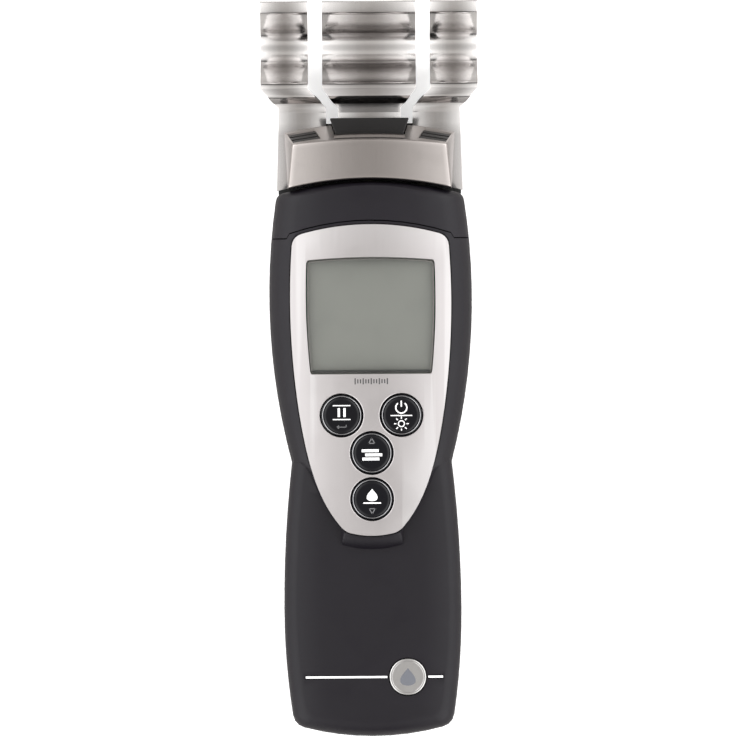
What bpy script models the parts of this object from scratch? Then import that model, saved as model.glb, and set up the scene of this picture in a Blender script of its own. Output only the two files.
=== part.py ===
"""Handheld moisture meter with three bent sheet electrodes.

Frame: the meter lies on its back, display up. +Z leaves the display, +Y points
to the electrodes, +X is to the right of someone reading it. The origin is under
the middle of the whole meter, on the surface it lies on. Lengths are metres.
"""
import math

import bmesh
import bpy
from mathutils import Matrix, Vector

# Housing, seen from the front
UPPER_LENGTH = 0.0888
GRIP_LENGTH = 0.0870
UPPER_WIDTH = 0.0643
WAIST_WIDTH = 0.0507
GRIP_WIDTH = 0.0562
END_WIDTH = 0.0508
UPPER_WIDEST_UP = 0.0524
GRIP_WIDEST_DOWN = 0.0467
HEAD_ARC_RADIUS = 0.111
END_ARC_RADIUS = 0.087
HEAD_CORNER = 0.0020
END_CORNER = 0.0032
END_CORNER_UP = 0.0055

# Housing, seen from the side
BODY_DEPTH = 0.0400
GRIP_STEP = 0.0045
PARTING_Z = 0.0170
UPPER_CROWN_RADIUS = 0.110
GRIP_CROWN_RADIUS = 0.200
WALL = 0.0022
UPPER_EDGE = 0.0073
UPPER_EDGE_HEIGHT = 0.0085
HEAD_EDGE = 0.0012
REAR_HEAD_EDGE = 0.0020
GRIP_EDGE = 0.0042
GRIP_EDGE_HEIGHT = 0.0060
REAR_EDGE = 0.0080
REAR_EDGE_HEIGHT = 0.0095
SHIELD_EDGE = 0.0011
CHIN_SLOPE = 0.0042
HIDDEN_RISE = 0.0200
HIDDEN_CORNER = 0.0010

# Clearances
JOIN_GAP = 0.00035
SLIDE_GAP = 0.00040
LAY_GAP = 0.00030
OVERCUT = 0.0010
SCREW_END_GAP = 0.0010

# Fascia, window and keys
FASCIA_PROUD = 0.0009
FASCIA_THICKNESS = 0.0016
FASCIA_SIDE_MARGIN = 0.00665
FASCIA_TIP_WIDTH = 0.0176
FASCIA_TOP_UP = 0.0752
FASCIA_WIDEST_UP = 0.0511
FASCIA_BOTTOM_DOWN = 0.0234
FASCIA_SIDE_RADIUS = 0.235
FASCIA_TOP_RADIUS = 0.082
FASCIA_TIP_RADIUS = 0.028
FASCIA_CORNER = 0.0030
FASCIA_TIP_CORNER = 0.0016
FASCIA_TIP_RISE = 0.0016
FASCIA_SOFT_TAPER = 0.66
FASCIA_EDGE = 0.0006
FASCIA_LEDGE = 0.0020
SHIELD_MARGIN = 0.0013
CREASE_DROP = 0.0061
CHIN_DROP = 0.0052
CHIN_RADIUS = 0.035
CHIN_CORNER = 0.0005
SEAM_UP = 0.0708
SEAM_STEP = 0.0010
WINDOW_BORDER = 0.0053
WINDOW_TOP_UP = 0.0644
WINDOW_KEY_MARGIN = 0.00676
WINDOW_WIDEST_UP = 0.0525
WINDOW_TOP_RADIUS = 0.215
WINDOW_CORNER = 0.0009
WINDOW_THICKNESS = 0.0014
WINDOW_RECESS = 0.0022
KEY_DIAMETER = 0.0134
KEY_GAP = 0.00035
KEY_HEIGHT = 0.0064
KEY_SINK = 0.0002
KEY_STEM_INSET = 0.0030
KEY_STEM_HEIGHT = 0.0030
KEY_STEM_SLOPE = 0.0006
KEY_SIDE_DROP = 0.0016
KEY_EDGE_INSET = 0.0003
KEY_EDGE_DROP = 0.0009
KEY_CROWN_INSET = 0.0008
KEY_CROWN = 0.0006
KEY_MIDDLE_DROP = 0.00015
KEY_TIP_MARGIN = 0.0029
KEY_ROW_WEB = 0.0055
KEY_SLANT_WEB = 0.00183
KEY_PITCH_WEB = 0.0012

# Display and electronics
BOARD_THICKNESS = 0.0016
BOARD_BELOW_CROWN = 0.0105
BOARD_INSET = 0.0017
GLASS_THICKNESS = 0.0018
GLASS_OVERLAP = 0.0012
BACKLIGHT_THICKNESS = 0.0022
ZEBRA_WIDTH = 0.0020
ZEBRA_INSET = 0.0020
FRAME_WALL = 0.0012
DOME_RADIUS = 0.0030
DOME_HEIGHT = 0.0006
MEMBRANE_THICKNESS = 0.0008
MEMBRANE_MARGIN = 0.0004
CAN_WALL = 0.0006
BUZZER_UP = 0.0060
BUZZER_RADIUS = 0.0050
BUZZER_HEIGHT = 0.0050
BUZZER_CHAMFER = 0.0004

# Parts below the board: middle x, middle y above the waist, width, length, height
BOARD_PARTS = {
    "microcontroller": (0.0, 0.0290, 0.0140, 0.0140, 0.0016),
    "crystal_can": (0.0115, 0.0290, 0.0040, 0.0100, 0.0024),
    "measuring_chip": (0.0, 0.0580, 0.0100, 0.0060, 0.0015),
    "shield_can": (0.0, 0.0580, 0.0200, 0.0140, 0.0042),
}

# Head
COLLAR_GAP = 0.0009
COLLAR_FOOT_WIDTH = 0.0520
COLLAR_SHOULDER_WIDTH = 0.0492
COLLAR_BASE_WIDTH = 0.0540
COLLAR_FACE_LENGTH = 0.0127
COLLAR_SLOPE_LENGTH = 0.0050
COLLAR_TOP_RADIUS = 0.197
COLLAR_BASE_RADIUS = 0.126
COLLAR_BELOW_CROWN = 0.0011
COLLAR_WALL = 0.0016
COLLAR_EDGE = 0.0008
POCKET_DEPTH = 0.0007
POCKET_SIDE = 0.0008
POCKET_WIDTH = 0.0087
POCKET_LEAN = 0.0020
POCKET_LOW = 0.0020
POCKET_HIGH = 0.0150
BLOCK_TOP_WIDTH = 0.0252
BLOCK_WIDTH = 0.0220
BLOCK_NOSE = 0.0016
BLOCK_NOSE_LENGTH = 0.0046
BLOCK_BODY_LENGTH = 0.0110
BLOCK_HEIGHT = 0.0114
CARRIER_WIDTH = 0.0500
CARRIER_THICKNESS = 0.0100
CARRIER_GAP = 0.0018
CARRIER_CORNER = 0.0030
CARRIER_SEAT = 0.0030
NECK_WIDTH = 0.0390
NECK_DEPTH = 0.0078
NECK_LENGTH = 0.0085
NECK_DROP = 0.0002
NECK_OVERLAP = 0.0020
PASSAGE_LENGTH = 0.0120
GASKET_THICKNESS = 0.0009
GASKET_WIDTH = 0.0580
GASKET_HOLE_LENGTH = 0.0100
SPRING_THICKNESS = 0.0003
SPRING_WIDTH = 0.0024
SPRING_SPACING = 0.0165
SPRING_RADIUS = 0.0008
SPRING_SLOPE = 0.0030
SPRING_TURN = 0.0015

# Electrodes
SHEET = 0.0010
ELECTRODE_SPAN = 0.0690
OUTER_WIDTH = 0.0151
CENTRE_WIDTH = 0.0298
CENTRE_NECK_WIDTH = 0.0200
OUTER_SHIFT = 0.0057
FOOT_FLARE = 0.0008
FOOT_Z = 0.0176
FOOT_START = 0.0004
CENTRE_FOOT_START = 0.0035
FOOT_SCREW_UP = 0.0085
FOOT_SCREW_SHIFT = 0.0005
NECK_END_UP = 0.0050
SHOULDER_UP = 0.0111
FOLD_UP = 0.0035
FOLD_RADIUS = 0.0012
CREST_UP = 0.0118
CREST_RISE = 0.0034
CREST_RADIUS = 0.0028
TROUGH_UP = 0.0195
TROUGH_RADIUS = 0.0062
TROUGH_END_UP = 0.0292
TROUGH_END_RADIUS = 0.0058
LIP_UP = 0.0352
LIP_DROP = 0.0008
LIP_RADIUS = 0.0016
BLADE_UP = 0.0390
TIP_RISE = 0.0022

# Battery
BATTERY_WIDTH = 0.0265
BATTERY_LENGTH = 0.0465
BATTERY_DEPTH = 0.0175
BATTERY_END_GAP = 0.0050
STUD_SPACING = 0.0128
STUD_RADIUS = 0.0028
TERMINAL_HEIGHT = 0.0020
SNAP_THICKNESS = 0.0032
SNAP_SIDE_INSET = 0.0006
SNAP_FACE_INSET = 0.0010
FOAM_THICKNESS = 0.0018
FOAM_SIDE_INSET = 0.0030
FOAM_END_INSET = 0.0060
DOOR_WIDTH = 0.0340
DOOR_LENGTH = 0.0620
DOOR_RISE = 0.0075
LEAD_RADIUS = 0.0007
LEAD_SPACING = 0.0070
LEAD_END_UP = 0.0080

# Fasteners
SCREW_HEAD_RADIUS = 0.0026
SCREW_HEAD_HEIGHT = 0.0020
SCREW_HEAD_CHAMFER = 0.0006
SCREW_SHANK_RADIUS = 0.0013
SCREW_POINT = 0.0012
SLOT_WIDTH = 0.0007
SLOT_DEPTH = 0.0009
SLOT_REACH = 0.0014
BOSS_RADIUS = 0.0031
BOSS_INSET = 0.0072
HEAD_BOSS_UP = 0.0775
WAIST_BOSS_UP = 0.0070
END_BOSS_UP = 0.0130
REAR_BOSS_LOW = 0.0041
WELL_WALL = 0.0012
SEAT_THICKNESS = 0.0045
COLLAR_BOSS_RADIUS = 0.0026
HEAD_SCREW_DEPTH = 0.0075
SCREW_DEPTH = 0.0080

# Trim on the grip
LINE_WIDTH = 0.0008
LINE_HEIGHT = 0.0005
LINE_PROUD = 0.0001
LINE_UP = 0.0188
BADGE_RADIUS = 0.0060
BADGE_X = 0.0109
BADGE_PROUD = 0.0003
BADGE_EDGE = 0.0004
BADGE_DOME = 0.0001
LINE_LEFT_END = 0.0216
LINE_RIGHT_END = 0.0222

# Places worked out from the sizes
COLLAR_LENGTH = COLLAR_FACE_LENGTH + COLLAR_SLOPE_LENGTH
LENGTH = GRIP_LENGTH + UPPER_LENGTH + COLLAR_GAP + COLLAR_LENGTH + BLADE_UP
GRIP_END_Y = -LENGTH / 2
WAIST_Y = GRIP_END_Y + GRIP_LENGTH
HEAD_TOP_Y = WAIST_Y + UPPER_LENGTH
UPPER_WIDEST_Y = WAIST_Y + UPPER_WIDEST_UP
GRIP_WIDEST_Y = WAIST_Y - GRIP_WIDEST_DOWN
END_CORNER_Y = GRIP_END_Y + END_CORNER_UP
SEAM_Y = WAIST_Y + SEAM_UP
COLLAR_FOOT_Y = HEAD_TOP_Y + COLLAR_GAP
COLLAR_TOP_Y = COLLAR_FOOT_Y + COLLAR_FACE_LENGTH
COLLAR_BASE_Y = COLLAR_TOP_Y + COLLAR_SLOPE_LENGTH
FACE_Z = BODY_DEPTH - FASCIA_PROUD
GRIP_DEPTH = BODY_DEPTH - GRIP_STEP
BOARD_TOP_Z = BODY_DEPTH - BOARD_BELOW_CROWN
COLLAR_RIM_Z = FOOT_Z + SHEET / 2 + JOIN_GAP
WINDOW_TOP_Z = BODY_DEPTH - WINDOW_RECESS
FASCIA_HALF = UPPER_WIDTH / 2 - FASCIA_SIDE_MARGIN
FASCIA_TIP_HALF = FASCIA_TIP_WIDTH / 2
FASCIA_TOP_Y = WAIST_Y + FASCIA_TOP_UP
FASCIA_WIDEST_Y = WAIST_Y + FASCIA_WIDEST_UP
FASCIA_BOTTOM_Y = WAIST_Y - FASCIA_BOTTOM_DOWN
FASCIA_TIP_Y = FASCIA_BOTTOM_Y + FASCIA_TIP_RISE
WINDOW_HALF = FASCIA_HALF - WINDOW_BORDER
WINDOW_TOP_Y = WAIST_Y + WINDOW_TOP_UP
WINDOW_WIDEST_Y = WAIST_Y + WINDOW_WIDEST_UP
KEY_RADIUS = KEY_DIAMETER / 2
KEY_ROW_X = (KEY_DIAMETER + KEY_ROW_WEB) / 2
KEY_PITCH = KEY_DIAMETER + KEY_PITCH_WEB
KEY_DOWN_Y = FASCIA_BOTTOM_Y + FASCIA_LEDGE + KEY_TIP_MARGIN + KEY_RADIUS
KEY_UP_Y = KEY_DOWN_Y + KEY_PITCH
KEY_ROW_Y = KEY_UP_Y + math.sqrt((KEY_DIAMETER + KEY_SLANT_WEB) ** 2 - KEY_ROW_X ** 2)
KEY_PLACES = {
    "hold": (-KEY_ROW_X, KEY_ROW_Y),
    "power": (KEY_ROW_X, KEY_ROW_Y),
    "up": (0.0, KEY_UP_Y),
    "down": (0.0, KEY_DOWN_Y),
}
WINDOW_BOTTOM_Y = KEY_ROW_Y + KEY_RADIUS + WINDOW_KEY_MARGIN
BATTERY_Y = GRIP_END_Y + WALL + BATTERY_END_GAP
BATTERY_TOP_Y = BATTERY_Y + BATTERY_LENGTH
BATTERY_Z = WALL + 2 * LAY_GAP + FOAM_THICKNESS
SCREW_HOLE_RADIUS = SCREW_SHANK_RADIUS + JOIN_GAP
HOUSING_SEAT_Z = PARTING_Z - SEAT_THICKNESS

ROUND_SEGMENTS = 28
SCREW_SEGMENTS = 12
CORNER_STEPS = 3
EDGE_STEPS = 4
RING_STEPS = 3
COLUMNS = 6
COLLAR_COLUMNS = 12
COLLAR_ROWS = 3
LEAD_STEPS = 10


# ---------------------------------------------------------------- curves

def bow(radius, distance):
    """How far an arc of this radius falls away at a distance from its crown."""
    return radius - math.sqrt(radius * radius - distance * distance)


def radius_for(distance, fall):
    """Radius of the arc that falls by this much at this distance."""
    return (distance * distance + fall * fall) / (2 * fall)


UPPER_RADIUS = radius_for(UPPER_WIDEST_UP, (UPPER_WIDTH - WAIST_WIDTH) / 2)
GRIP_RADIUS = radius_for(GRIP_WIDEST_DOWN, (GRIP_WIDTH - WAIST_WIDTH) / 2)
END_RADIUS = radius_for(GRIP_WIDEST_Y - END_CORNER_Y, (GRIP_WIDTH - END_WIDTH) / 2)


def grip_half(y):
    """Half width of the grip's outline, carried on upwards inside the upper part."""
    radius = GRIP_RADIUS if y > GRIP_WIDEST_Y else END_RADIUS
    return GRIP_WIDTH / 2 - bow(radius, y - GRIP_WIDEST_Y)


def housing_half(y):
    """Half width of the whole housing, which has a kink at the waist."""
    if y >= WAIST_Y:
        return UPPER_WIDTH / 2 - bow(UPPER_RADIUS, y - UPPER_WIDEST_Y)
    return grip_half(y)


def fascia_half(y):
    """Half width of the shield-shaped fascia."""
    if y >= FASCIA_WIDEST_Y:
        return FASCIA_HALF - bow(FASCIA_SIDE_RADIUS, y - FASCIA_WIDEST_Y)
    reach = (FASCIA_WIDEST_Y - y) / (FASCIA_WIDEST_Y - FASCIA_TIP_Y)
    taper = FASCIA_SOFT_TAPER * reach ** 2 + (1 - FASCIA_SOFT_TAPER) * reach ** 8
    return FASCIA_HALF - (FASCIA_HALF - FASCIA_TIP_HALF) * taper


def upper_half(y):
    """Half width of the raised upper part, which closes in below the waist."""
    if y >= WAIST_Y:
        return housing_half(y)
    shield = fascia_half(max(y, FASCIA_TIP_Y)) + SHIELD_MARGIN
    if y < WAIST_Y - CREASE_DROP:
        return shield
    reach = (WAIST_Y - y) / CREASE_DROP
    start = WAIST_WIDTH / 2
    return start + (shield - start) * math.sin(reach * math.pi / 2)


def window_half(y):
    """Half width of the display window."""
    return WINDOW_HALF - bow(FASCIA_SIDE_RADIUS, y - WINDOW_WIDEST_Y)


def head_edge(x):
    """Top edge of the head."""
    return HEAD_TOP_Y - bow(HEAD_ARC_RADIUS, x)


def hidden_edge(x):
    """Top edge of the grip's own volume, which lies inside the upper part."""
    return WAIST_Y + HIDDEN_RISE - bow(HEAD_ARC_RADIUS, x)


def end_edge(x):
    """Bottom edge of the grip."""
    return GRIP_END_Y + bow(END_ARC_RADIUS, x)


def chin_edge(x):
    """Bottom edge of the raised part, just below the fascia."""
    return FASCIA_BOTTOM_Y - CHIN_DROP + bow(CHIN_RADIUS, x)


def fascia_top(x):
    """Top edge of the fascia."""
    return FASCIA_TOP_Y - bow(FASCIA_TOP_RADIUS, x)


def fascia_bottom(x):
    """Bottom edge of the fascia."""
    return FASCIA_BOTTOM_Y + bow(FASCIA_TIP_RADIUS, x)


def window_top(x):
    """Top edge of the display window."""
    return WINDOW_TOP_Y - bow(WINDOW_TOP_RADIUS, x)


def upper_face(x, y):
    """Front surface of the upper part."""
    return FACE_Z - bow(UPPER_CROWN_RADIUS, x)


def grip_face(x, y):
    """Front surface of the grip."""
    return GRIP_DEPTH - bow(GRIP_CROWN_RADIUS, x)


def level(z):
    """A flat surface at one height."""
    return lambda x, y: z


def raised(surface, amount):
    """The same surface moved up by an amount."""
    return lambda x, y: surface(x, y) + amount


# ---------------------------------------------------------------- outlines

def meeting(half_at, edge, start):
    """Height at which the side of an outline meets its end edge."""
    y = start
    for _ in range(30):
        y = edge(half_at(y))
    return y


def corner_points(before, corner, after, steps):
    """Points of a rounded corner, without its two ends."""
    points = []
    for step in range(1, steps):
        t = step / steps
        a = (1 - t) ** 2
        b = 2 * t * (1 - t)
        c = t * t
        x = a * before[0] + b * corner[0] + c * after[0]
        y = a * before[1] + b * corner[1] + c * after[1]
        points.append((x, y))
    return points


def between(start, stop, steps):
    """Evenly spaced values with both ends."""
    return [start + (stop - start) * step / steps for step in range(steps + 1)]


def outline(half_at, top_edge, bottom_edge, top_round, bottom_round, pieces, edge_steps=EDGE_STEPS):
    """Right half of an outline, from the top middle to the bottom middle.

    pieces lists (height, steps) downwards: the side is drawn in that many steps
    to each height, and the last piece ends at the bottom corner.
    """
    top_y = meeting(half_at, top_edge, top_edge(0.0))
    bottom_y = meeting(half_at, bottom_edge, bottom_edge(0.0))
    top_x = half_at(top_y)
    bottom_x = half_at(bottom_y)
    points = [(x, top_edge(x)) for x in between(0.0, top_x - top_round, edge_steps)]
    side_start = (half_at(top_y - top_round), top_y - top_round)
    points += corner_points(points[-1], (top_x, top_y), side_start, CORNER_STEPS)
    y = side_start[1]
    points.append(side_start)
    for stop, steps in pieces:
        stop_y = bottom_y + bottom_round if stop is None else stop
        points += [(half_at(v), v) for v in between(y, stop_y, steps)[1:]]
        y = stop_y
    bottom_start = (bottom_x - bottom_round, bottom_edge(bottom_x - bottom_round))
    points += corner_points(points[-1], (bottom_x, bottom_y), bottom_start, CORNER_STEPS)
    points += [(x, bottom_edge(x)) for x in between(bottom_start[0], 0.0, edge_steps)]
    return points


def inset(points, half_at, side, top=0.0, bottom=0.0):
    """Move an outline inwards: side may be a number or a function of height."""
    high = points[0][1]
    low = points[-1][1]
    middle = (high + low) / 2
    moved = []
    for x, y in points:
        amount = side(y) if callable(side) else side
        wide = max(half_at(y), x)
        new_x = x * (1 - amount / wide)
        if y > middle:
            new_y = y - top * (y - middle) / (high - middle)
        else:
            new_y = y + bottom * (middle - y) / (middle - low)
        moved.append((new_x, new_y))
    return moved


def grown(points, half_at, amount):
    """Move an outline outwards all round."""
    return inset(points, half_at, -amount, -amount, -amount)


# ---------------------------------------------------------------- solids

def clear_scene():
    """Remove what the start-up scene holds."""
    for item in list(bpy.data.objects):
        bpy.data.objects.remove(item, do_unlink=True)


def add_object(name, shape):
    """Turn a bmesh into an object with its faces pointing out."""
    bmesh.ops.remove_doubles(shape, verts=shape.verts, dist=1e-7)
    bmesh.ops.recalc_face_normals(shape, faces=shape.faces)
    mesh = bpy.data.meshes.new(name)
    shape.to_mesh(mesh)
    shape.free()
    item = bpy.data.objects.new(name, mesh)
    bpy.context.scene.collection.objects.link(item)
    return item


def loop_of(points):
    """Full loop of an outline given by its right half."""
    left = [(-x, y) for x, y in reversed(points[1:-1])]
    return points + left


def crowned_solid(name, points, base_z, surface, bands=None, columns=COLUMNS):
    """Solid between a flat base and a curved surface.

    bands is (half_at, side, top, bottom, height): the edge is a quarter ellipse
    that wide and that high. Without it the edge is sharp.
    """
    shape = bmesh.new()
    height = bands[4] if bands else 0.0
    rings = [[(x, y, base_z) for x, y in loop_of(points)]]
    steps = RING_STEPS if bands else 0
    top_points = points
    for step in range(steps + 1):
        angle = step / max(steps, 1) * math.pi / 2
        if bands:
            half_at, side, top, bottom = bands[:4]
            share = 1 - math.cos(angle)
            amount = (lambda y, s=side, k=share: k * (s(y) if callable(s) else s))
            top_points = inset(points, half_at, amount, top * share, bottom * share)
        fall = height * (1 - math.sin(angle))
        rings.append([(x, y, surface(x, y) - fall) for x, y in loop_of(top_points)])
    levels = [[shape.verts.new(p) for p in ring] for ring in rings]
    count = len(levels[0])
    shape.faces.new(levels[0])
    for lower, upper in zip(levels, levels[1:]):
        for i in range(count):
            j = (i + 1) % count
            shape.faces.new((lower[i], lower[j], upper[j], upper[i]))
    close_cap(shape, levels[-1], len(points), surface, columns)
    return add_object(name, shape)


def close_cap(shape, ring, side_count, surface, columns):
    """Close the top of a solid with rows that follow the curved surface."""
    count = len(ring)
    rows = []
    for i in range(1, side_count - 1):
        right = ring[i]
        left = ring[count - i]
        row = [left]
        for step in range(1, columns):
            share = step / columns
            x = left.co.x + (right.co.x - left.co.x) * share
            row.append(shape.verts.new((x, right.co.y, surface(x, right.co.y))))
        row.append(right)
        rows.append(row)
    for upper, lower in zip(rows, rows[1:]):
        for a in range(columns):
            shape.faces.new((upper[a], upper[a + 1], lower[a + 1], lower[a]))
    for a in range(columns):
        shape.faces.new((ring[0], rows[0][a + 1], rows[0][a]))
        shape.faces.new((ring[side_count - 1], rows[-1][a], rows[-1][a + 1]))


def prism(name, loop, low, high):
    """Straight-sided solid over a closed loop of points."""
    shape = bmesh.new()
    bottom = [shape.verts.new((x, y, low)) for x, y in loop]
    top = [shape.verts.new((x, y, high)) for x, y in loop]
    count = len(loop)
    shape.faces.new(bottom)
    shape.faces.new(top)
    for i in range(count):
        j = (i + 1) % count
        shape.faces.new((bottom[i], bottom[j], top[j], top[i]))
    return add_object(name, shape)


def box(name, x, y, z):
    """Box between the given pairs of values."""
    return prism(name, [(x[0], y[0]), (x[1], y[0]), (x[1], y[1]), (x[0], y[1])], z[0], z[1])


def turned(name, place, profile, segments=ROUND_SEGMENTS):
    """Solid of revolution about a vertical axis: profile is (radius, height) upwards."""
    shape = bmesh.new()
    rings = []
    for radius, z in profile:
        if radius == 0.0:
            rings.append([shape.verts.new((0.0, 0.0, z))])
            continue
        ring = []
        for i in range(segments):
            angle = 2 * math.pi * (i + 0.5) / segments
            ring.append(shape.verts.new((radius * math.cos(angle), radius * math.sin(angle), z)))
        rings.append(ring)
    for lower, upper in zip(rings, rings[1:]):
        for i in range(segments):
            j = (i + 1) % segments
            corners = [lower[i % len(lower)], lower[j % len(lower)]]
            corners += [upper[j % len(upper)], upper[i % len(upper)]]
            shape.faces.new(list(dict.fromkeys(corners)))
    for ring in (rings[0], rings[-1]):
        if len(ring) > 1:
            shape.faces.new(ring)
    item = add_object(name, shape)
    item.location = place
    return item


def rod(name, x, y, low, high, radius, segments=SCREW_SEGMENTS):
    """Plain vertical cylinder."""
    return turned(name, (x, y, 0.0), [(radius, low), (radius, high)], segments)


def lofted(name, rings):
    """Closed solid through rings of the same number of points."""
    shape = bmesh.new()
    levels = [[shape.verts.new(p) for p in ring] for ring in rings]
    count = len(levels[0])
    shape.faces.new(levels[0])
    shape.faces.new(levels[-1])
    for lower, upper in zip(levels, levels[1:]):
        for i in range(count):
            j = (i + 1) % count
            shape.faces.new((lower[i], lower[j], upper[j], upper[i]))
    return add_object(name, shape)


def combine(target, tool, operation, solver="EXACT"):
    """Apply one Boolean to the target and remove the tool."""
    bpy.context.view_layer.update()
    change = target.modifiers.new("change", "BOOLEAN")
    change.operation = operation
    change.solver = solver
    change.object = tool
    scene_state = bpy.context.evaluated_depsgraph_get()
    mesh = bpy.data.meshes.new_from_object(target.evaluated_get(scene_state))
    target.modifiers.clear()
    old = target.data
    target.data = mesh
    mesh.name = target.name
    bpy.data.meshes.remove(old)
    bpy.data.objects.remove(tool, do_unlink=True)
    return target


def carve(target, tool, solver="EXACT"):
    """Cut the tool out of the target."""
    return combine(target, tool, "DIFFERENCE", solver)


def join(target, tool, solver="EXACT"):
    """Make the tool part of the target."""
    return combine(target, tool, "UNION", solver)


def keep_inside(target, tool):
    """Keep only what lies inside the tool."""
    return combine(target, tool, "INTERSECT")


def copy_of(item, name):
    """A separate object with its own copy of the mesh."""
    twin = bpy.data.objects.new(name, item.data.copy())
    twin.location = item.location
    bpy.context.scene.collection.objects.link(twin)
    return twin


def set_origin(item, place):
    """Move an object's origin without moving its shape."""
    shift = item.location - Vector(place)
    for vertex in item.data.vertices:
        vertex.co += shift
    item.location = place
    return item


def finish(item, name, colour, roughness, metallic=0.0, smooth=35.0):
    """Give an object its material and its shading."""
    material = bpy.data.materials.get(name)
    if material is None:
        material = bpy.data.materials.new(name)
        material.use_nodes = True
        shader = material.node_tree.nodes["Principled BSDF"]
        shader.inputs["Base Color"].default_value = (*colour, 1.0)
        shader.inputs["Roughness"].default_value = roughness
        shader.inputs["Metallic"].default_value = metallic
    item.data.materials.clear()
    item.data.materials.append(material)
    item.data.shade_smooth()
    item.data.set_sharp_from_angle(angle=math.radians(smooth))
    return item


def black_housing(item):
    return finish(item, "black_housing_abs", (0.030, 0.029, 0.034), 0.55)


def satin_metal(item):
    return finish(item, "satin_steel", (0.56, 0.54, 0.53), 0.30, 1.0)


def silver_paint(item):
    return finish(item, "silver_fascia", (0.60, 0.58, 0.57), 0.38, 0.85)


def black_insulator(item):
    return finish(item, "black_insulator", (0.022, 0.020, 0.020), 0.45)


def gloss_key(item):
    return finish(item, "gloss_key", (0.012, 0.012, 0.014), 0.18)


def clear_plastic(item):
    return finish(item, "clear_window", (0.80, 0.82, 0.78), 0.08)


def display_glass(item):
    return finish(item, "display_grey", (0.29, 0.30, 0.27), 0.25)


def white_plastic(item):
    return finish(item, "white_plastic", (0.75, 0.75, 0.73), 0.45)


def rubber(item):
    return finish(item, "dark_rubber", (0.05, 0.05, 0.05), 0.85)


def board_laminate(item):
    return finish(item, "board_laminate", (0.02, 0.16, 0.07), 0.45)


def chip_resin(item):
    return finish(item, "chip_resin", (0.02, 0.02, 0.02), 0.50)


def plated_steel(item):
    return finish(item, "plated_steel", (0.62, 0.61, 0.59), 0.28, 1.0)


def battery_jacket(item):
    return finish(item, "battery_jacket", (0.10, 0.11, 0.13), 0.35, 0.3)


# ---------------------------------------------------------------- housing

def upper_outline(coarse=1):
    """Outline of the raised upper part."""
    pieces = [(WAIST_Y, 12 // coarse), (WAIST_Y - CREASE_DROP, 4 // coarse)]
    pieces += [(FASCIA_TIP_Y, 6 // coarse), (None, 1)]
    return outline(upper_half, head_edge, chin_edge, HEAD_CORNER, CHIN_CORNER, pieces)


def grip_outline(coarse=1):
    """Outline of the grip, with an arched top hidden in the upper part."""
    pieces = [(GRIP_WIDEST_Y, 8 // coarse), (None, 6 // coarse)]
    return outline(grip_half, hidden_edge, end_edge, HIDDEN_CORNER, END_CORNER, pieces)


def level_edge(y):
    """A straight end edge."""
    return lambda x: y


def housing_outline(coarse=1):
    """Outline of the whole housing."""
    pieces = [(WAIST_Y, 12 // coarse), (GRIP_WIDEST_Y, 6 // coarse), (None, 6 // coarse)]
    return outline(housing_half, head_edge, end_edge, HEAD_CORNER, END_CORNER, pieces)


def upper_edge_width(y):
    """Width of the rounded edge: wide beside the display, narrow along the shield."""
    if y >= WAIST_Y:
        return UPPER_EDGE
    reach = min((WAIST_Y - y) / CREASE_DROP, 1.0)
    return UPPER_EDGE + (SHIELD_EDGE - UPPER_EDGE) * reach


def front_volume():
    """Outer shape of the front half, before it is hollowed."""
    grip = crowned_solid("front_shell", grip_outline(), PARTING_Z, grip_face,
                         (grip_half, GRIP_EDGE, GRIP_EDGE, GRIP_EDGE, GRIP_EDGE_HEIGHT))
    upper = crowned_solid("upper", upper_outline(), PARTING_Z, upper_face,
                          (upper_half, upper_edge_width, HEAD_EDGE, CHIN_SLOPE, UPPER_EDGE_HEIGHT))
    return join(grip, upper)


def front_hollows():
    """The space inside the front half."""
    low = PARTING_Z - OVERCUT
    grip_points = inset(grip_outline(2), grip_half, WALL, WALL, WALL)
    grip = crowned_solid("hollow", grip_points, low, raised(grip_face, -WALL),
                         (grip_half, GRIP_EDGE - WALL, 0.0, GRIP_EDGE - WALL, GRIP_EDGE_HEIGHT), 4)
    upper_points = inset(upper_outline(2), upper_half, WALL, WALL, CHIN_SLOPE + WALL)
    upper_edge = (lambda y: max(upper_edge_width(y) - WALL, 0.0))
    upper = crowned_solid("hollow", upper_points, low, raised(upper_face, -WALL),
                          (upper_half, upper_edge, 0.0, 0.0, UPPER_EDGE_HEIGHT), 4)
    return join(upper, grip)


def seam_region(lower):
    """Space on one side of the seam between the front shell and the head cover."""
    wide = UPPER_WIDTH
    shift = -JOIN_GAP / 2 if lower else JOIN_GAP / 2
    corner = fascia_half(FASCIA_TOP_Y) + SHIELD_MARGIN
    rim = [(x, fascia_top(x) + SHIELD_MARGIN + shift) for x in between(-corner, corner, 10)]
    step_x = corner + SEAM_STEP
    seam = [(-wide, SEAM_Y + shift), (-step_x, SEAM_Y + shift)] + rim
    seam += [(step_x, SEAM_Y + shift), (wide, SEAM_Y + shift)]
    far = GRIP_END_Y - WALL if lower else HEAD_TOP_Y + WALL
    loop = seam + [(wide, far), (-wide, far)]
    return prism("region", loop, PARTING_Z - WALL, BODY_DEPTH + WALL)


def boss_places():
    """Where the six housing screws stand: head, waist and grip end, left and right."""
    places = []
    for y in (WAIST_Y + HEAD_BOSS_UP, WAIST_Y + WAIST_BOSS_UP, GRIP_END_Y + END_BOSS_UP):
        x = housing_half(y) - BOSS_INSET
        places += [(-x, y), (x, y)]
    return places


def add_front_bosses(shell, places, surface):
    """Pillars that the housing screws bite into."""
    for x, y in places:
        top = surface(abs(x) + BOSS_RADIUS, y) - WALL / 2
        shell = join(shell, rod("boss", x, y, PARTING_Z, top, BOSS_RADIUS))
    pilot_top = PARTING_Z + SCREW_DEPTH + SCREW_END_GAP
    for x, y in places:
        shell = carve(shell, rod("pilot", x, y, PARTING_Z - WALL, pilot_top, SCREW_HOLE_RADIUS))
    return shell


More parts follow.
